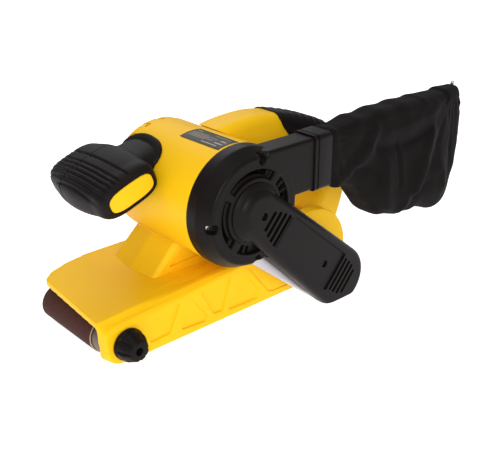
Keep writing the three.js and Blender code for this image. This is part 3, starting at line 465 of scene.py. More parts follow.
def make_base():
    deck = prism(
        [
            (-123, 36.6), (-123, 40.4), (-122.2, 41.6), (-120.5, 42.1), (-82, 44.4), (-50, 45.1),
            (60, 46),
        ]
        + arc(REAR_Y, REAR_Z, 45, 125, -21, 48)
        + arc(REAR_Y, REAR_Z, 41, -22, 132, 48)
        + [(60, 42), (-50, 41.4), (-111, 40.8), (-114.2, 36.6)],
        -40,
        66,
    )
    corners = [0.1, 20, 20, 14, 9, 0.1, 0.1, 0.1]
    plan = [
        (-40, 170), (-40, -70), (-38, -86), (-33, -104), (-25, -115), (66, -122.8), (80, -124),
        (80, 170),
    ]
    deck = common(deck, prism(rounded(plan, corners, 10), -60, 100, "z"))
    box = side_box(0)
    lobe = rod(45, 62, SIDE_X - 1, REAR_Y, 28, 128)
    shoulder = []
    for y, x_in, deck_z, wall_z in SHOULDER:
        wall = [(72.4, y, wall_z), (73.4, y, wall_z - 3), (73.4, y, wall_z - 8)]
        shoulder.append([(x_in, y, deck_z), *wall, (x_in, y, deck_z - 5)])
    shell = join(deck, box, lobe, loft(shoulder))
    shell = cut(
        shell,
        block(-60, 100, -140, 160, -40, 3),
        side_box(3.6),
        rod(41.4, 30, SIDE_X - 4.6, REAR_Y, 28, 96),
        block(40, 62, -112, 140, -5, 40.6),
        rod(9, 60, 80, REAR_Y, REAR_Z),
        rod(4.6, 60, 80, KNOB_Y, KNOB_Z),
        rod(50.6, 40, 100, 0, MOTOR_Z, 128),
    )
    pockets = [
        [(-79, 33.4), (-49.8, 36.6), (-60.7, 12.4), (-79.3, 11.4)],
        [(-37.4, 34.4), (-22, 13.4), (-24.4, 9.2), (-48.6, 10.6), (-42.6, 27)],
        [(-28, 38.6), (4.8, 42.4), (-5, 12.4), (-14.5, 12.8)],
        [(17.6, 40.4), (35.1, 19), (34.4, 9.3), (1.7, 10.2), (8.3, 26)],
    ]
    shell = soften(shell, 0.95, 3, 0.85)
    tools = []
    for p in pockets:
        line = np.array(rounded(p, 2.4, 5))
        wide = line.mean(0) + (line - line.mean(0)) * 1.07
        rings = [(SIDE_X - 1.5, line), (SIDE_X + 0.1, wide), (SIDE_X + 4, wide)]
        tools.append(loft([[(x, a, b) for a, b in outline] for x, outline in rings]))
    line = [(24.5, 42), (46.5, 13.6), (49.2, 11.4), (53, 10.2), (92, 9.4)]
    tools += groove(line, 1.2, SIDE_X - 1, SIDE_X + 4)
    shell = cut(shell, *tools)
    finish(shell, "base_cover", "housing", ["base_cover"], "yellow_shell", YELLOW, sharp=32)


# ---- Motor housing --------------------------------------------------------------------------
VENT_STEPS = (-2, -1, 0, 1, 2, 3, 4)
VENT_PITCH = 18  # degrees
# Along X from and to, the floor's height over the barrel's surface, and the half width.
VENT_CUTS = ((-24, -6.5, -2.2, 2.9), (-21, -15.6, -9, 2.3), (-12.6, -7.4, -9, 2.3))


def vent_tools():
    """Each vent is a shallow notch across the edge of the barrel, with two openings in it."""
    tools = []
    for i in VENT_STEPS:
        for x0, x1, low, half in VENT_CUTS:
            slot = block(x0, x1, -half, half, BARREL + low, BARREL + 9)
            tools.append(turned(slot, math.radians(VENT_PITCH * i), 0, MOTOR_Z))
    return tools


def make_motor_housing():
    shell = rod(BARREL, -11, 85, 0, MOTOR_Z, 160)
    foot = 44.2
    waist = [
        (-11, -27, 75), (15, -31, 75), (42, -28.4, 75), (45.4, -24, 75), (50, 40, 75),
        (-11, 40, 75),
    ]
    low = [
        (-20, -50, foot), (9.5, -54.5, foot), (37.6, -51.8, foot), (40.6, -48, foot),
        (44, 60, foot), (-20, 60, foot),
    ]
    high = [(-11, -20, 100), (45, -20, 100), (50, 20, 100), (-11, 20, 100)]
    shell = join(shell, hull(low + waist), hull(waist + high))
    stud = [(4.3 * math.cos(a), 4.3 * math.sin(a)) for a in np.linspace(0, 6, 24)]
    stud_hole = turned(prism(stud, 41, 54, "z"), math.radians(62), 0, MOTOR_Z)
    stud_hole.data.transform(Matrix.Translation((12, 0, 0)))
    tools = [
        rod(BARREL - 3.5, -21, 86, 0, MOTOR_Z, 128),
        block(-8, 36, -32, 48, 40, 60),
        stud_hole,
        tube(BARREL + 1, BARREL - 0.5, 30.1, 30.9, 0, MOTOR_Z, 160),
    ]
    patch = prism([(0, MOTOR_Z), (-17.4, MOTOR_Z + 55), (9.4, MOTOR_Z + 55)], 33.9, 82.7)
    label_bed = common(tube(BARREL + 1, BARREL - 0.9, 33, 84, 0, MOTOR_Z, 160), patch)
    shell = cut(shell, *tools, label_bed)
    shell = soften(shell, 0.85, 3, 0.85)
    pocket = [(-37, 51), (12, 54), (-12, 65.5), (-21, 69)]
    line = rounded(pocket, 1.6, 4)
    face = [(40.9 + 0.042 * (y + 48) + 0.155 * (z - 46), y, z) for y, z in line]
    recess = loft([[(x - 2.6, y, z) for x, y, z in face], [(80, y, z) for _, y, z in face]])
    shell = cut(shell, recess, *vent_tools())
    finish(shell, "motor_housing", "housing", ["motor_housing"], "yellow_shell", YELLOW, sharp=32)
    dome = lathe(
        [
            (0, -31), (24, -31), (30, -30.3), (36, -28.5), (40.5, -25.6), (44, -22), (46.6, -18.4),
            (48.4, -14.6),
        ]
        + [(49, -12), (49, -11.3), (45.3, -11.3), (41, -20), (34, -25.6), (23, -28), (0, -28)],
        0,
        MOTOR_Z,
        160,
    )
    dome = join(dome, tube(14.5, 11.3, -29, -19.5, 0, MOTOR_Z, 64))
    slots = []
    for i in range(8):
        slot = block(-31.8, -30, -1.1, 1.1, 9, 20)
        slots.append(turned(slot, math.radians(45 * i + 22.5), 0, MOTOR_Z))
    dome = cut(dome, block(-21, -5, -55, 65, 40, 75.5), *slots)
    dome = cut(soften(dome, 0.65, 4), *vent_tools())
    finish(dome, "end_cap", "housing", ["end_cap"], "yellow_shell", YELLOW, sharp=32)


def make_label():
    """The rating label, with plain bars where a label has its print."""

    def patch(radius, x0, x1, a0, a1, thick):
        rings = []
        for x in (x0, x1):
            outer = arc(0, MOTOR_Z, radius, a0, a1, 24)
            inner = arc(0, MOTOR_Z, radius - thick, a1, a0, 24)
            rings.append([(x, y, z) for y, z in outer + inner])
        return loft(rings)

    sheet = patch(BARREL - 0.1, 34.4, 82.2, 81.4, 106.2, 0.5)
    rows = [(103.6, 102.4, 58, 76), (99.6, 99, 38, 58), (97.6, 97, 38, 66), (95.6, 95, 38, 60)]
    rows += [
        (93.6, 93, 38, 68), (91.6, 91, 38, 56), (99.6, 98.2, 70, 79), (94.6, 92.6, 73, 79),
        (88, 86.4, 38, 44), (87.4, 86.4, 60, 78),
    ]
    bars = [patch(BARREL + 0.02, x0, x1, a0, a1, 0.3) for a1, a0, x0, x1 in rows]
    for index, shape in enumerate([sheet, *bars]):
        shape.data.materials.append(LABEL)
        shape.data.materials.append(PRINT)
        print_index = [min(index, 1)] * len(shape.data.polygons)
        shape.data.polygons.foreach_set("material_index", print_index)
    merged = merge([sheet, *bars])
    finish(
        merged, "rating_label", "housing", ["rating_label"], "label_print", LABEL, PRINT, sharp=30,
    )


def merge(objects):
    """Several objects as one mesh, with the first one's material slots."""
    bm = bmesh.new()
    for obj in objects:
        bm.from_mesh(obj.data)
    mesh = objects[0].data
    bm.to_mesh(mesh)
    bm.free()
    for obj in objects[1:]:
        bpy.data.objects.remove(obj)
    return objects[0]


# ---- Fan housing and its screws -------------------------------------------------------------
RIM_SCREWS = (184, 80, 274)  # degrees round the rim from +Y
RIM_SCREW_CIRCLE = 41.6


def at_angle(degrees, radius):
    return radius * math.cos(math.radians(degrees)), radius * math.sin(math.radians(degrees))


def sector(outer, inner, x0, x1, start, stop):
    points = arc(0, 0, outer, start, stop, 30) + arc(0, 0, inner, stop, start, 30)
    return turned(prism(points, x0, x1), 0, 0, MOTOR_Z)


def drive_channel():
    """The room round the drive belt and its pulleys."""
    return turned(prism(band(12.3, 25.5, ARM_SPAN), 98, 110.4), ARM_TURN, 0, MOTOR_Z)


def make_fan_housing():
    profile = [
        (0, 85.3), (49.2, 85.3), (50, 86), (50, 96.6), (49.6, 97.8), (45.1, 106.6), (44.2, 108.4),
        (43.2, 109.4), (42, 109.6),
    ]
    profile += [(36.4, 109.6), (35.8, 109.9), (35.0, 109.9), (34.7, 109.4), (0, 109.4)]
    body = lathe(profile, 0, MOTOR_Z, 160)
    section = rounded([(87, 114), (109.5, 114), (109.5, 158.5), (87, 158.5)], 3, 6)
    duct = prism(section, 15, DUCT_END, "y")
    start = [(x, 14.6, z) for x, z in section]
    start += [
        (87, 2, 156), (98, 2, 153), (103, 4, 147), (108, 2, 130), (87, 2, 116), (108, 2, 116),
    ]
    body = join(body, duct, hull(start))
    body = cut(
        body, tube(34.7, 27.5, 105.5, 112, 0, MOTOR_Z, 128), rod(45.8, 80, 96.4, 0, MOTOR_Z, 96),
    )
    tools = [rod(6, 90, 112, 0, MOTOR_Z)]
    openings = ((62, 136), (152, 218), (240, 262), (4, 38))
    tools += [sector(33.9, 29.6, 97.5, 106.5, a, b) for a, b in openings]
    bore = rounded([(90, 117), (106.5, 117), (106.5, 155.5), (90, 155.5)], 2)
    tools += [block(90, 96.4, 8, 48, 117, 155.5), prism(bore, 47, 83, "y")]
    tools.append(drive_channel())
    for degrees in RIM_SCREWS:
        y, z = at_angle(degrees, RIM_SCREW_CIRCLE)
        tools.append(rod(3.9, 102, 112, y, z + MOTOR_Z, 32))
        tools.append(rod(1.8, 90, 112, y, z + MOTOR_Z, 24))
        slot = prism(
            rounded([(38.5, -3.3), (47.5, -3.3), (47.5, 3.3), (38.5, 3.3)], 3), 103.4, 112,
        )
        tools.append(turned(slot, math.radians(degrees), 0, MOTOR_Z))
    tools.append(turned(block(101, 112, 41, 52, -3, 3), math.radians(-70), 0, MOTOR_Z))
    body = cut(body, *tools)
    lugs = []
    for degrees, wide in ((48, 3.4), (228, 3.4), (239, 1.2), (250, 1.2), (30, 1.4), (18, 1.2)):
        lug = block(98, 110.2 if wide > 2 else 108, 27, 35.4, -wide, wide)
        lugs.append(turned(lug, math.radians(degrees), 0, MOTOR_Z))
    lugs.append(sector(35.4, 27.5, 98, 109.4, 138, 150))
    body = join(body, *lugs)
    body = cut(body, drive_channel())
    body = soften(body, 0.66, 3, 0.8)
    finish(body, "fan_housing", "housing", ["fan_housing"], "black_shell", BLACK, sharp=50)
    for i, degrees in enumerate(RIM_SCREWS):
        y, z = at_angle(degrees, RIM_SCREW_CIRCLE)
        screw, name = make_screw(y, z + MOTOR_Z, 102.4, 2.9, 1.5, 5), f"fan_screw_{i + 1}"
        finish(screw, name, "housing", [name], "steel", STEEL, sharp=30)


def make_screw(y, z, top, radius, shank, length):
    """A pan head with a crossed recess; top is where its head ends along X."""
    profile = [(0, top - length), (shank, top - length), (shank, top - 2.1), (radius, top - 2.1)]
    profile += [
        (radius, top - 1.1), (radius * 0.9, top - 0.4), (radius * 0.6, top - 0.06), (0, top),
    ]
    screw = lathe(profile, y, z, 48)
    bars = [block(top - 1.3, top + 1, y - 1.7, y + 1.7, z - 0.36, z + 0.36)]
    bars.append(block(top - 1.3, top + 1, y - 0.36, y + 0.36, z - 1.7, z + 1.7))
    return cut(screw, *bars)


# ---- Drive arm ------------------------------------------------------------------------------
# The screws that hold the arm's cover: name, place along the arm, and height of the face there.
ARM_SCREWS = (("arm_screw_upper", 4, 116.8), ("arm_screw_lower", 105, 113.3))


def fan_room():
    """The room that the arm leaves for the fan housing, in the arm's own frame."""
    return [
        rod(45.4, 107.4, 109.8, 0, 0, 96),
        rod(50.8, 84, 97.6, 0, 0, 96),
        lathe([(50.8, 97.5), (45.4, 107.9)], 0, 0, 96),
    ]


def arm_face(u):
    """Height in X of the arm's face at u along it."""
    return 117.0 - 4.4 * np.clip(u / ARM_SPAN, 0, 1)


def arm_slot(u, half_width, half_length, x0, x1=125.0):
    """A bar across the arm with rounded ends."""
    corners = [(u - half_width, -half_length), (u + half_width, -half_length)]
    corners += [(u + half_width, half_length), (u - half_width, half_length)]
    return prism(rounded(corners, half_width * 0.9), x0, x1)


def make_arm():
    points = []
    for x, upper, lower in ((98, 22.5, ARM_RADIUS), (106.5, 22, ARM_RADIUS)):
        points += [(x, u, v) for u, v in band(upper, lower, ARM_SPAN)]
    for x, radius in ((109, 27.8), (110.8, 26.8), (112, 25.2), (112.6, 23.4)):
        points += [(x, u, v) for u, v in arc(ARM_SPAN, 0, radius, -90, 90)]
    for x, radius in ((109.6, 21.5), (112.6, 20), (115, 17.6), (116.4, 15.4), (117, 13.2)):
        points += [(x, u, v) for u, v in arc(0, 0, radius, 90, 270)]
    steps = [(0, 98), (27.4, 98), (27.4, 107.2), (24.6, 109), (24.4, 110.4), (20.5, 113), (0, 113)]
    outer = join(hull(points), lathe(steps, 0, 0, 128))
    outer = cut(outer, *fan_room(), prism(band(12.3, 25.5, ARM_SPAN), 97, 110.0))
    outer = soften(outer, 0.55, 9, 0.8)
    panel_line = rounded([(37.4, -16), (124, -18.4), (124, 18.4), (37.4, 16)], 2)
    floor = [(arm_face(u) - 1.1, u, v) for u, v in panel_line]
    tools = [loft([floor, [(125, u, v) for u, v in panel_line]])]
    for u, half in ((12.5, 9), (18.5, 11.6), (24.5, 13.4), (30.5, 14.4)):
        tools.append(arm_slot(u, 1.7, half, arm_face(u) - 4))
    for u, half in ((128, 16), (134, 16), (140, 15), (146, 12)):
        tools.append(arm_slot(u, 1.6, half, arm_face(u) - 3.4))
    for _, u, face in ARM_SCREWS:
        tools += [rod(3.3, face - 4.6, 125, u, 0, 40), rod(1.8, 90, 125, u, 0, 24)]
    outer = cut(outer, *tools)
    ribs = []
    for u, half in ((15.5, 10), (21.5, 12.4), (27.5, 13.8)):
        ribs.append(arm_slot(u, 0.75, half, arm_face(u) - 3.4, arm_face(u) - 0.5))
    ribs += [arm_slot(35, 0.9, 14.2, arm_face(35) - 1.5, arm_face(35) + 0.5)]
    outer = join(outer, *ribs)
    turned(outer, ARM_TURN, 0, MOTOR_Z)
    finish(outer, "belt_cover", "housing", ["belt_cover"], "black_shell", BLACK, sharp=40)
    for name, u, face in ARM_SCREWS:
        y, z = u * math.cos(ARM_TURN), MOTOR_Z + u * math.sin(ARM_TURN)
        screw = make_screw(y, z, face - 2.6, 2.8, 1.5, 2.4)
        finish(screw, name, "housing", [name], "steel", DARK_STEEL, sharp=30)


def make_drive_case():
    body = prism(band(36, 27.8, ARM_SPAN), 74.5, 97.7)
    body = cut(
        body,
        *fan_room(),
        rod(50.6, 60, 97, 0, 0, 128),
        prism(band(11.7, 23.9, ARM_SPAN), 89, 100),
        block(70, 100, -60, 40, -60, 60),
        prism([(-60, 22.5), (ARM_SPAN, 27.2), (ARM_SPAN, 80), (-60, 80)], 70, 100),
        rod(13.3, 79.7, 92, ARM_SPAN, 0),
        rod(7, 70, 92, ARM_SPAN, 0),
    )
    seam = prism(band(40, 32, ARM_SPAN), 88.6, 89.8)
    seam = cut(seam, prism(band(34.8, 26.6, ARM_SPAN), 80, 95))
    step = prism(band(40, 32, ARM_SPAN), 70, 80.5)
    step = cut(step, prism(band(34.4, 26.2, ARM_SPAN), 60, 90))
    body = cut(body, seam, step)
    turned(body, ARM_TURN, 0, MOTOR_Z)
    body = soften(body, 0.6, 3)
    finish(body, "drive_case", "housing", ["drive_case"], "cast_alloy", ALLOY)


# ---- Running gear ---------------------------------------------------------------------------
def belt_line(inset, steps=48):
    """The sanding belt's loop, drawn in by inset."""
    top = 90 + 2 * math.degrees(math.atan2(REAR_Z - FRONT_Z, REAR_Y - FRONT_Y))
    rear = arc(REAR_Y, REAR_Z, 20 - inset, -90, top, steps)
    front = arc(FRONT_Y, FRONT_Z, 16 - inset, top, 270, steps)
    return rear + front


def make_belt():
    edges = [(0, 0.25), (0.25, 0), (0.75, 0), (1, 0.25)]
    section = [(inset, BELT_X - BELT_HALF + x) for inset, x in edges]
    section += [(inset, BELT_X + BELT_HALF - x) for inset, x in reversed(edges)]
    lines = {inset: belt_line(inset) for inset, _ in section}
    rings = [[(x, *lines[inset][i]) for inset, x in section] for i in range(len(lines[0]))]
    belt = loft(rings, loop=True)
    around = len(section)
    index = [0 if i % around == around - 1 else 1 for i in range(len(belt.data.polygons))]
    belt.data.materials.append(GRIT)
    belt.data.materials.append(BACKING)
    belt.data.polygons.foreach_set("material_index", index)
    finish(belt, "sanding_belt", "housing", ["sanding_belt"], "abrasive", GRIT, BACKING, sharp=40)


def make_front_roller():
    x0, x1, outer = BELT_X - 36.4, 58.0, 14.7
    profile = [
        (5.3, x0), (outer - 0.8, x0), (outer, x0 + 0.8), (outer, x1 - 0.8), (outer - 0.8, x1),
        (12.6, x1),
    ]
    profile += [(12.2, x1 - 1.2), (9.2, x1 - 1.2), (8.8, x1), (5.3, x1)]
    roller = lathe(profile, FRONT_Y, FRONT_Z, 128, loop=True)
    finish(roller, "front_roller", "front_roller", ["front_roller"], "steel", ROLLER, sharp=30)
    ends = [
        (0, x0 - 3.6), (4.2, x0 - 3.6), (5, x0 - 2.8), (5, x1 + 3.4), (4.2, x1 + 4.2),
        (0, x1 + 4.2),
    ]
    axle = lathe(ends, FRONT_Y, FRONT_Z, 64)
    finish(axle, "idler_axle", "axle", ["idler_axle"], "steel", DARK_STEEL, sharp=30)


def make_knob():
    """The tracking knob, with eight flutes along its side."""
    x0, sides = SIDE_X + 0.3, 192
    angle = np.arange(sides) * 2 * np.pi / sides
    flute = np.clip(np.cos(8 * angle), -0.2, 1) ** 2
    rings = []
    profile = [
        (9, 0, 0), (13, 0, 0), (13.4, 0.5, 0), (13.4, 2.6, 0), (13.1, 3.2, 0), (12.9, 3.6, 0.5),
        (12.7, 5, 1),
    ]
    profile += [
        (12.4, 8, 1), (11.4, 10, 1), (10.2, 12.4, 1), (9, 15, 0.8), (8.5, 15.8, 0.5),
        (7.7, 16.2, 0.2),
    ]
    profile += [(3.6, 16.2, 0), (3.2, 15.8, 0), (3, 10, 0), (0.05, 10, 0)]
    for radius, along, depth in profile:
        r = radius - 1.5 * depth * flute
        around = [KNOB_Y + r * np.cos(angle), KNOB_Z + r * np.sin(angle)]
        rings.append(np.stack([np.full(sides, x0 + along), *around], 1))
    knob = loft(rings)
    finish(knob, "tracking_knob", "knob", ["tracking_knob"], "black_shell", BLACK, sharp=40)


# ---- Rear handle ----------------------------------------------------------------------------
HANDLE_LINE = [
    (20, 136, 21.5),
    (44, 139.6, 21.5),
    (75, 141, 20.3),
    (112, 134.6, 17.8),
    (145, 121.5, 17.3),
    (164, 104.5, 16.5),
    (169, 84, 15.8),
    (163, 62, 18.2),
    (150, 40, 23),
]


def handle_stations(start, stop, count):
    """Places along the handle: y, z, unit normal and half depth."""
    at = np.linspace(start, stop, count)
    knots = np.arange(len(HANDLE_LINE))
    here = spline(knots, HANDLE_LINE, at)
    ahead = spline(knots, HANDLE_LINE, np.clip(at + 0.02, 0, len(knots) - 1))
    behind = spline(knots, HANDLE_LINE, np.clip(at - 0.02, 0, len(knots) - 1))
    way = ahead[:, :2] - behind[:, :2]
    way /= np.linalg.norm(way, axis=1)[:, None]
    return [(y, z, -w[1], w[0], half) for (y, z, half), w in zip(here, way)]


def handle_bar(grow, start=0.0, stop=8.0, ribs=0.0):
    """The handle's bar grown by grow; ribs ripple its top along the grip."""
    rings = []
    count = 150 if ribs else 70
    for i, (y, z, ny, nz, half) in enumerate(handle_stations(start, stop, count)):
        lift = grow
        if ribs:
            share = i / (count - 1)
            wave = max(0, math.cos(2 * math.pi * share * 17)) ** 2
            lift += ribs * wave * math.sin(math.pi * share)
        ring = []
        for across, up in round_rect(HANDLE_WIDE + grow, half + grow, 10, 10):
            if up > 0:
                up += (lift - grow) * (up / half) ** 4
            ring.append((HANDLE_X + across, y + ny * up, z + nz * up))
        rings.append(ring)
    return loft(rings)


def handle_edge(start, stop, offsets, count=60):
    """A line along the handle, offset from its middle line."""
    spots = handle_stations(start, stop, count)
    shares = np.linspace(0, 1, count)
    across = np.interp(shares, [s for s, _ in offsets], [o for _, o in offsets])
    return [(y + ny * o, z + nz * o) for (y, z, ny, nz, _), o in zip(spots, across)]


LOCK_X = HANDLE_X - HANDLE_WIDE - 1.0  # where the collar round the lock button ends
SEAM = 0.05  # from the handle's middle plane to each half


def make_rear_handle():
    shell = cut(
        handle_bar(0),
        handle_bar(-3.2),
        rod(BARREL + 0.45, -60, 120, 0, MOTOR_Z, 160),
        block(84, 120, -60, 100, 100, 170),
        rod(45.3, -60, 100, REAR_Y, REAR_Z, 128),
        block(-60, 100, -60, 130, 0, 60),
        block(HANDLE_X - 7.4, HANDLE_X + 7.4, 75.6, 103.4, 105, 128),
    )
    lock_ring = rod(7.4, LOCK_X - 0.2, HANDLE_X - 14, *LOCK_YZ)
    shell = join(shell, cut(lock_ring, rod(5.4, 0, 20, *LOCK_YZ)))
    gland = lathe([(7.3, 165), (7.3, 200)], 0, 0, 48)
    to_gland = Matrix.Translation((HANDLE_X, 0, GLAND_Z))
    gland.data.transform(to_gland @ Matrix.Rotation(math.pi / 2, 4, "Z"))
    shell = cut(shell, rod(5.4, -10, HANDLE_X - 10, *LOCK_YZ), gland)
    shell = soften(shell, 0.7, 4)
    other = shell.copy()
    other.data = shell.data.copy()
    bpy.context.scene.collection.objects.link(other)
    halves = [
        (shell, "handle_left", HANDLE_X + SEAM, 80), (other, "handle_right", -80, HANDLE_X - SEAM),
    ]
    for half, name, x0, x1 in halves:
        common(half, block(x0, x1, -60, 260, 0, 220))
        finish(half, name, "housing", [name], "yellow_shell", YELLOW, sharp=50)
    start, stop = 2.3, 5.7
    top = handle_edge(start, stop, [(0, 34), (1, 30)])
    drop = [(0, 16), (0.04, 8), (0.1, 1), (0.17, -5), (0.25, -8), (0.8, -8), (0.9, -3), (1, 8)]
    low = handle_edge(start + 0.02, stop - 0.05, drop)
    reach = prism(top + low[::-1], HANDLE_X - 30, HANDLE_X + 30)
    grip = common(handle_bar(1.25, 2.0, 6.0, 0.8), reach)
    grip = cut(grip, handle_bar(0.25), rod(8, -10, HANDLE_X - 10, *LOCK_YZ))
    grip = soften(grip, 0.5, 3)
    finish(grip, "handle_grip", "housing", ["handle_grip"], "rubber_grip", RUBBER)
    line = [(76, 122), (76, 113), (80, 110.6), (90, 111.6), (98, 112.4), (103, 117), (103, 122)]
    line = rounded(line, [0.5, 3, 4, 8, 4, 3, 0.5])
    trigger = soften(prism(line, HANDLE_X - 7, HANDLE_X + 7), 0.4, 3)
    finish(trigger, "trigger", "trigger", ["trigger"], "black_shell", BLACK)
    edge = HANDLE_X - HANDLE_WIDE
    profile = [(0, 4), (5, 4), (5, -2.6), (4.6, -3.3), (3.8, -3.6), (0, -3.2)]
    button = lathe([(radius, edge + x) for radius, x in profile], *LOCK_YZ, 64)
    finish(button, "lock_button", "lock", ["lock_button"], "black_shell", BLACK, sharp=40)
    profile = [(3.6, 176), (6.4, 176), (7, 176.6), (7, 181.4), (6.2, 182)]
    for i in range(4):
        y = 182.3 + 1.9 * i
        profile += [(5.4, y), (5.4, y + 1), (4.8, y + 1.2), (4.8, y + 1.7)]
    profile += [(5.2, 190), (3.6, 190)]
    gland = lathe(profile, 0, 0, 64, loop=True)
    mirror = Matrix.Scale(-1, 4, (1, 0, 0))
    gland.data.transform(to_gland @ mirror @ Matrix.Rotation(math.pi / 2, 4, "Z"))
    gland.data.flip_normals()
    finish(gland, "cord_gland", "housing", ["cord_gland"], "rubber_grip", RUBBER, sharp=40)


# ---- Front handle ---------------------------------------------------------------------------
PADDLE_STATIONS = [
    (-35, 18.5, 8.6),
    (-31, 22, 11.5),
    (-16, 27.5, 15),
    (10, 31, 17),
    (36, 28.5, 15.5),
    (51, 25, 12.8),
    (54, 22.5, 10.4),
]
GROOVE_STEP, GROOVE_DEPTH = 4.5, 1.9


def paddle_ring(x, length, thick, around=64, grooves=0.0):
    """A rounded section across the paddle; grooves scales the grooves on its top."""
    y0, z0, tilt = PADDLE
    angle = (np.arange(around) + 0.5) * 2 * np.pi / around
    cos, sin = np.cos(angle), np.sin(angle)
    u = length * np.sign(cos) * np.abs(cos) ** 0.62
    v = thick * np.sign(sin) * np.abs(sin) ** 0.62
    if grooves:
        phase = (u + 27) / GROOVE_STEP
        near = np.abs(phase - np.round(phase)) * GROOVE_STEP
        row = np.round(phase)
        dip = np.exp(-((near / 0.8) ** 2)) * ((row >= 0) & (row <= 7) & (v > 0))
        v = v - grooves * GROOVE_DEPTH * dip
    y = y0 + u * math.cos(tilt) - v * math.sin(tilt)
    z = z0 + u * math.sin(tilt) + v * math.cos(tilt)
    return np.stack([np.full(around, x), y, z], 1)


NECK_X = 12  # middle of the front handle's neck
# The neck from the paddle to the barrel: y, half width, half height and middle height.
NECK = [
    (-72, 29, 12, 133.4),
    (-64, 27, 12, 136.6),
    (-56, 25, 12, 138.6),
    (-48, 24, 12.2, 139.8),
    (-40, 24.5, 13.4, 140.4),
    (-32, 25, 14, 140.5),
]


def make_front_handle():
    xs = np.linspace(-35, 54, 90)
    halves = spline([s[0] for s in PADDLE_STATIONS], [s[1:] for s in PADDLE_STATIONS], xs)
    rings = []
    for x, (length, thick) in zip(xs, halves):
        inward = np.clip(min(x + 34, 52 - x) / 4, 0, 1)
        seam = math.exp(-(((x + 1.5) / 0.6) ** 2))
        rings.append(paddle_ring(x, length - seam, thick - seam, 420, inward))
    pocket_left = [paddle_ring(54, 21.1, 8.9, 420), paddle_ring(51, 21.1, 8.9, 420)]
    pocket_right = [paddle_ring(-32, 17.1, 7.3, 420), paddle_ring(-35, 17.1, 7.3, 420)]
    paddle = loft([*pocket_right, *rings, *pocket_left])
    neck = []
    ys = np.linspace(-32, -72, 40)
    sections = spline([s[0] for s in NECK], [s[1:] for s in NECK], ys)
    for y, (wide, tall, z) in zip(ys, sections):
        angle = np.arange(96) * 2 * np.pi / 96
        cos, sin = np.cos(angle), np.sin(angle)
        across = wide * np.sign(cos) * np.abs(cos) ** 0.8
        up = tall * np.sign(sin) * np.abs(sin) ** 0.8
        neck.append(np.stack([NECK_X + across, y + 0.35 * up, z + up], 1))
    turn = math.radians(139)  # where the neck meets the barrel
    flange = []
    for radius, wide, tall in ((40, 26, 17), (51, 25.4, 16.6), (52.2, 24.4, 15.6), (53, 21, 12)):
        for a in np.arange(48) * 2 * np.pi / 48:
            t = tall * math.sin(a)
            y = radius * math.cos(turn) - t * math.sin(turn)
            z = MOTOR_Z + radius * math.sin(turn) + t * math.cos(turn)
            flange.append((NECK_X + wide * math.cos(a), y, z))
    body = join(paddle, loft(neck), hull(flange))
    body = cut(body, rod(BARREL + 0.45, -60, 120, 0, MOTOR_Z, 160))
    body = soften(body, 0.5, 3, 0.85)
    nodes = ["front_handle_body", "front_handle_grip"]
    finish(body, "front_handle", "housing", nodes, "rubber_grip", RUBBER)
    inserts = [
        ("handle_insert_left", 53.4, -1, 20.8, 8.6), ("handle_insert_right", -34.4, 1, 16.8, 7),
    ]
    for name, x, step, length, thick in inserts:
        edge = [(2.2, 0), (0.6, 0), (0.15, 0.35), (0, 1.1)]
        rings = [paddle_ring(x + step * a, length - b, thick - b, 160) for a, b in edge]
        plate = loft(rings)
        finish(plate, name, "housing", [name], "insert", INSERT, sharp=50)


# ---- Dust bag -------------------------------------------------------------------------------
def make_collar():
    middle_x, middle_z = sum(DUCT_X) / 2, sum(DUCT_Z) / 2
    half_x, half_z = (DUCT_X[1] - DUCT_X[0]) / 2, (DUCT_Z[1] - DUCT_Z[0]) / 2

    def frame_ring(y, grow, radius):
        points = round_rect(half_x + grow, half_z + grow, radius, 8)
        return [(middle_x + a, y, middle_z + b) for a, b in points]

    outer = [
        (64, 1.2), (64.4, 1.7), (67, 1.7), (67.4, 0.8), (68.4, 0.8), (68.8, 1.6), (83.2, 1.7),
        (84.2, 1.2), (85, -0.6),
    ]
    outer += [(94, -0.8)]
    inner = [(94, -3), (83, -3), (82.5, 0.3), (64, 0.3)]
    rings = [frame_ring(y, grow, 4.5) for y, grow in outer]
    rings += [frame_ring(y, grow, 3) for y, grow in inner]
    collar = loft(rings, loop=True)
    finish(collar, "bag_collar", "bag", ["bag_collar"], "black_shell", BLACK, sharp=35)


BAG_AROUND, BAG_ALONG = 128, 96  # points of its mesh
BAG_X = 97.5  # its middle plane
# Sections of the bag: y, half width, top and bottom.
BAG = [
    (84.6, 12.6, 160.0, 112.6),
    (92, 14.2, 161.4, 110),
    (106, 16.5, 164, 109),
    (118, 18.5, 165.4, 103),
    (127, 19.4, 166, 93.5),
    (137, 20.4, 166.5, 81),
    (147, 21.6, 166.8, 69.5),
    (156, 22, 167, 67.5),
    (181, 23, 167.2, 63),
    (205, 23, 167.2, 59.5),
    (223, 22, 167, 54),
    (238, 20, 166.6, 53.5),
    (249, 17.5, 166.2, 57),
    (260, 14, 165.4, 69),
    (267, 10.8, 164.6, 83),
    (273, 7.4, 158, 100),
    (277.5, 3.6, 147, 117),
]
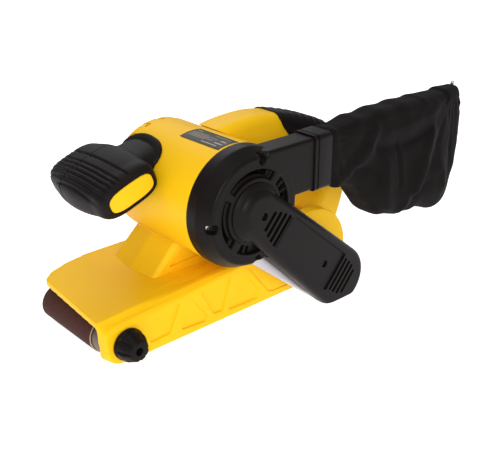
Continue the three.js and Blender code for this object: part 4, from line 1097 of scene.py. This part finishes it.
# Folds: a line of (y, z) points, how far it stands out, and its half width.
LEFT_FOLDS = [
    ([(90, 117), (104, 121), (118, 129.8), (129, 140.6), (135, 155)], 3.4, 5.5),
    ([(96, 126), (108, 131), (118, 141), (122, 155)], -2.6, 5),
    ([(112, 121.5), (128, 118), (139, 111)], -3.4, 7),
    ([(139, 139), (176, 136.5), (203, 139.6), (229, 145)], -3.4, 5.5),
    ([(163, 138), (168, 95)], -1.8, 1.6),
    ([(166, 138), (171.5, 95)], 1.2, 2.4),
    ([(215, 143), (206, 119), (191, 100), (174, 70)], 3.6, 6.5),
    ([(228, 136), (219, 116), (205, 92), (188, 66)], -2.6, 6),
    ([(190, 88), (203, 104), (217, 106), (233, 96), (240, 80)], 3.4, 5),
    ([(184, 83), (198, 77), (216, 84)], -2.8, 6),
    ([(148, 160), (187, 161), (220, 160)], 2.0, 6),
    ([(152, 148), (186, 150), (224, 152)], 1.6, 7),
    ([(150, 118), (152, 96), (158, 76)], 2.2, 6),
    ([(245, 150), (252, 120), (248, 84)], -2.2, 6),
    ([(262, 148), (268, 118), (262, 88)], 2.0, 6),
]
RIGHT_FOLDS = [
    ([(92, 120), (110, 128), (126, 146)], 3.0, 6),
    ([(120, 118), (140, 108), (158, 86)], -3.0, 7),
    ([(142, 140), (180, 132), (226, 140)], -3.0, 6),
    ([(206, 142), (196, 112), (178, 74)], 3.2, 7),
    ([(230, 128), (222, 96), (206, 66)], -2.8, 7),
    ([(152, 156), (200, 157), (240, 154)], 2.0, 7),
    ([(246, 140), (250, 104)], 2.0, 7),
]


def line_distance(points, y, z):
    best = np.full(y.shape, 1e9)
    for (y0, z0), (y1, z1) in zip(points, points[1:]):
        dy, dz = y1 - y0, z1 - z0
        t = np.clip(((y - y0) * dy + (z - z0) * dz) / (dy * dy + dz * dz), 0, 1)
        best = np.minimum(best, np.hypot(y - y0 - t * dy, z - z0 - t * dz))
    return best


def bag_rings(around, along):
    """The bag's form with its folds, as rings of points from the collar to the rear."""
    first, last = BAG[0][0], BAG[-1][0]
    ys = first + (last - first) * (1 - (1 - np.linspace(0, 1, along)) ** 1.3)
    table = spline([s[0] for s in BAG], [s[1:] for s in BAG], ys)
    angle = np.arange(around) * 2 * np.pi / around
    cos, sin = np.cos(angle), np.sin(angle)
    rings = []
    for y, (half, top, low) in zip(ys, table):
        power = 0.44 + 0.08 * np.clip((y - 90) / 60, 0, 1)
        across = np.sign(cos) * np.abs(cos) ** power
        up = np.sign(sin) * np.abs(sin) ** power
        sag = 1 + 0.10 * np.clip((y - 100) / 60, 0, 1) * (-up)
        wide = half * across * np.clip(sag, 0.8, 1.05)
        tall = (top + low) / 2 + (top - low) / 2 * up
        rings.append(np.stack([BAG_X + wide, np.full(around, y), tall], 1))
    rings = np.array(rings)
    out = rings - rings.mean(axis=1, keepdims=True)
    out[:, :, 1] = 0
    out /= np.maximum(np.linalg.norm(out, axis=2, keepdims=True), 1e-6)
    y, z = rings[:, :, 1], rings[:, :, 2]
    push = np.zeros(y.shape)
    for folds, sign in ((LEFT_FOLDS, 1), (RIGHT_FOLDS, -1)):
        face = np.clip(sign * out[:, :, 0] * 1.8, 0, 1)
        for points, height, width in folds:
            away = line_distance(points, y, z) / width
            push += face * height * 1.5 * np.exp(-(away**1.5))
    pleat = np.exp(-(((y - 85) / 14) ** 2))
    push += 0.9 * pleat * np.cos(angle * 24 + 0.6 * np.sin(angle * 5))
    under = np.clip(-out[:, :, 2] * 1.4 - 0.3, 0, 1)
    push += 1.6 * under * np.sin(y / 9.5 + 1.2) * np.clip((y - 150) / 30, 0, 1)
    over = np.clip(out[:, :, 2] * 1.4 - 0.4, 0, 1)
    push += 0.9 * over * np.abs(np.sin(y / 11 + 0.5)) * np.clip((y - 100) / 30, 0, 1)
    rumple = 1 - 2 * np.abs(np.sin(y / 9.3 + z / 13 + 1.3 * np.sin(z / 17)))
    rumple += 0.7 * (1 - 2 * np.abs(np.sin(z / 7.1 - y / 15 + 1.1 * np.sin(y / 13))))
    push += 0.4 * rumple * np.clip((y - 95) / 25, 0, 1)
    fade = np.clip((y - 85) / 9, 0, 1) * np.clip((279 - y) / 8, 0.2, 1)
    return rings + out * (push * fade)[:, :, None]


CRUMPLE_CAP = 0.0025  # metres that a point of the cloth may move
CRUMPLE_FRAMES = 16


def crumple(bag, around):
    """Lets the cloth, a little larger than the bag's form, sag into wrinkles from its seams."""
    start = np.array([v.co for v in bag.data.vertices])
    held = bag.vertex_groups.new(name="held")
    count = len(start)
    for i, (_, y, z) in enumerate(start):
        ends = i < around * 3 or i >= count - around * 2
        zip_seam = z > 0.158 and y > 0.245
        held.add([i], 1.0 if ends or zip_seam else 0.0, "REPLACE")
    cloth = bag.modifiers.new("sag", "CLOTH")
    cloth.settings.vertex_group_mass = "held"
    cloth.settings.quality = 6
    cloth.settings.mass = 0.15
    cloth.settings.shrink_min = -0.06
    cloth.settings.tension_stiffness = cloth.settings.compression_stiffness = 20
    cloth.settings.bending_stiffness = 0.08
    cloth.settings.use_pressure = True
    cloth.settings.uniform_pressure_force = 1.2
    scene = bpy.context.scene
    scene.gravity = (0, 0, -9.81)
    for number in range(1, CRUMPLE_FRAMES + 1):
        scene.frame_set(number)
    graph = bpy.context.evaluated_depsgraph_get()
    settled = np.array([v.co for v in bag.evaluated_get(graph).data.vertices])
    bag.modifiers.clear()
    scene.frame_set(1)
    step = settled - start
    length = np.linalg.norm(step, axis=1, keepdims=True)
    step *= np.minimum(1, CRUMPLE_CAP / np.maximum(length, 1e-9))
    bag.data.vertices.foreach_set("co", (start + step).astype(np.float32).ravel())
    bag.data.update()


def make_bag():
    """The bag's cloth shell, open at the collar, and its zip pull."""
    bag = loft(bag_rings(BAG_AROUND, BAG_ALONG))
    bm = bmesh.new()
    bm.from_mesh(bag.data)
    bm.faces.ensure_lookup_table()
    bmesh.ops.delete(bm, geom=[bm.faces[len(bm.faces) - 2]], context="FACES_ONLY")
    bm.to_mesh(bag.data)
    bm.free()
    bag.data.transform(Matrix.Scale(MM, 4))
    crumple(bag, BAG_AROUND)
    bag.data.transform(Matrix.Scale(1 / MM, 4))
    finer = bag.modifiers.new("finer", "SUBSURF")
    finer.levels = finer.render_levels = 1
    wall = bag.modifiers.new("cloth", "SOLIDIFY")
    wall.thickness, wall.offset = 1.0, -1
    bake(bag)
    bag.vertex_groups.clear()
    finish(bag, "dust_bag", "bag", ["dust_bag"], "bag_cloth", CLOTH)
    line = [(95.1, 163), (98.9, 163), (98.4, 169.4), (95.6, 169.4)]
    tab = prism(rounded(line, [1.2, 1.2, 1.4, 1.4], 6), 265.8, 267.0, "y")
    hole = lathe([(0.9, 260), (0.9, 280)], 0, 0, 32)
    hole.data.transform(Matrix.Translation((97, 0, 168)) @ Matrix.Rotation(math.pi / 2, 4, "Z"))
    tab = cut(tab, hole)
    finish(tab, "zip_pull", "zip", ["zip_pull"], "steel", STEEL, sharp=30)


# ---- CAD nodes that show as they are --------------------------------------------------------
def dress_cad_nodes():
    """Materials and softened edges for the inner parts."""
    bearings = [
        "shaft_bearing_inner", "shaft_bearing_outer", "motor_bearing_left", "motor_bearing_right",
    ]
    fittings = ["lever_pin", "tracking_screw", "front_handle_stud", "tension_spring"]
    looks = {
        ALLOY: ["base_frame", "drive_drum"],
        STEEL: ["motor_shaft", "drive_shaft", *bearings, *fittings],
        DARK_STEEL: ["platen_plate", "idler_yoke", "driven_pulley", "drive_pulley"],
        LAMINATIONS: ["armature_core", "stator"],
        COPPER: ["commutator", "brush_holder_front", "brush_holder_rear"],
        CARBON: ["brush_front", "brush_rear"],
        CORK: ["platen_pad"],
        RUBBER: ["drum_sleeve", "drive_belt"],
        BLACK: ["tension_lever", "bearing_plate", "dust_fan", "switch_body"],
    }
    for material, names in looks.items():
        for name in names:
            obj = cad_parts[name]
            obj.data.materials.clear()
            obj.data.materials.append(material)
            edge = obj.modifiers.new("edge", "BEVEL")
            edge.width, edge.segments, edge.limit_method = 0.0003, 2, "ANGLE"
            edge.angle_limit = math.radians(40)


# ---- Stage ----------------------------------------------------------------------------------
TOOL_MIDDLE = Vector((0.04, 0.03, 0.08))  # where the lights point
CAMERA_PLACE = (0.53941, -0.39482, 0.36031)
CAMERA_WAY = (-0.67803, 0.61330, -0.40514)
CAMERA_LENS = 58.94


def make_stage():
    grey = [(level,) * 3 for level in (0.83, 0.80)]
    material, _, shader, _, _ = surface("stage_paper", *grey, 0.7, patch=3.0)
    mesh = bpy.data.meshes.new("floor")
    mesh.from_pydata([(-4, -4, 0), (4, -4, 0), (4, 4, 0), (-4, 4, 0)], [], [(0, 1, 2, 3)])
    floor = add_object("floor", mesh)
    floor.location.z = -0.0002
    shader.inputs["Emission Color"].default_value = (1, 1, 1, 1)
    shader.inputs["Emission Strength"].default_value = 0.8
    mesh.materials.append(material)
    world = bpy.data.worlds.new("studio")
    bpy.context.scene.world = world
    world.use_nodes = True
    sky = world.node_tree.nodes["Background"]
    sky.inputs["Color"].default_value = (1, 1, 1, 1)
    sky.inputs["Strength"].default_value = 0.38
    bpy.context.scene.view_settings.view_transform = "Standard"
    lights = (
        ("key", (1.2, -0.75, 0.8), 0.8, 15.0),
        ("top", (-0.2, -0.3, 1.6), 1.2, 5.0),
        ("rim", (-0.9, 0.5, 1.0), 0.9, 5.0),
    )
    for name, place, size, power in lights:
        light = bpy.data.lights.new(name, "AREA")
        light.size, light.energy = size, power
        obj = add_object(name, light)
        obj.location = place
        aim = TOOL_MIDDLE - Vector(place)
        obj.rotation_euler = aim.to_track_quat("-Z", "Y").to_euler()


def make_camera():
    data = bpy.data.cameras.new("camera")
    data.sensor_width, data.lens, data.clip_start = 36.0, CAMERA_LENS, 0.01
    camera = add_object("camera", data)
    camera.location = CAMERA_PLACE
    camera.rotation_euler = Vector(CAMERA_WAY).to_track_quat("-Z", "Y").to_euler()
    bpy.context.scene.camera = camera


make_base()
make_motor_housing()
make_label()
make_fan_housing()
make_arm()
make_drive_case()
make_belt()
make_front_roller()
make_knob()
make_rear_handle()
make_front_handle()
make_collar()
make_bag()
dress_cad_nodes()
make_stage()
make_camera()
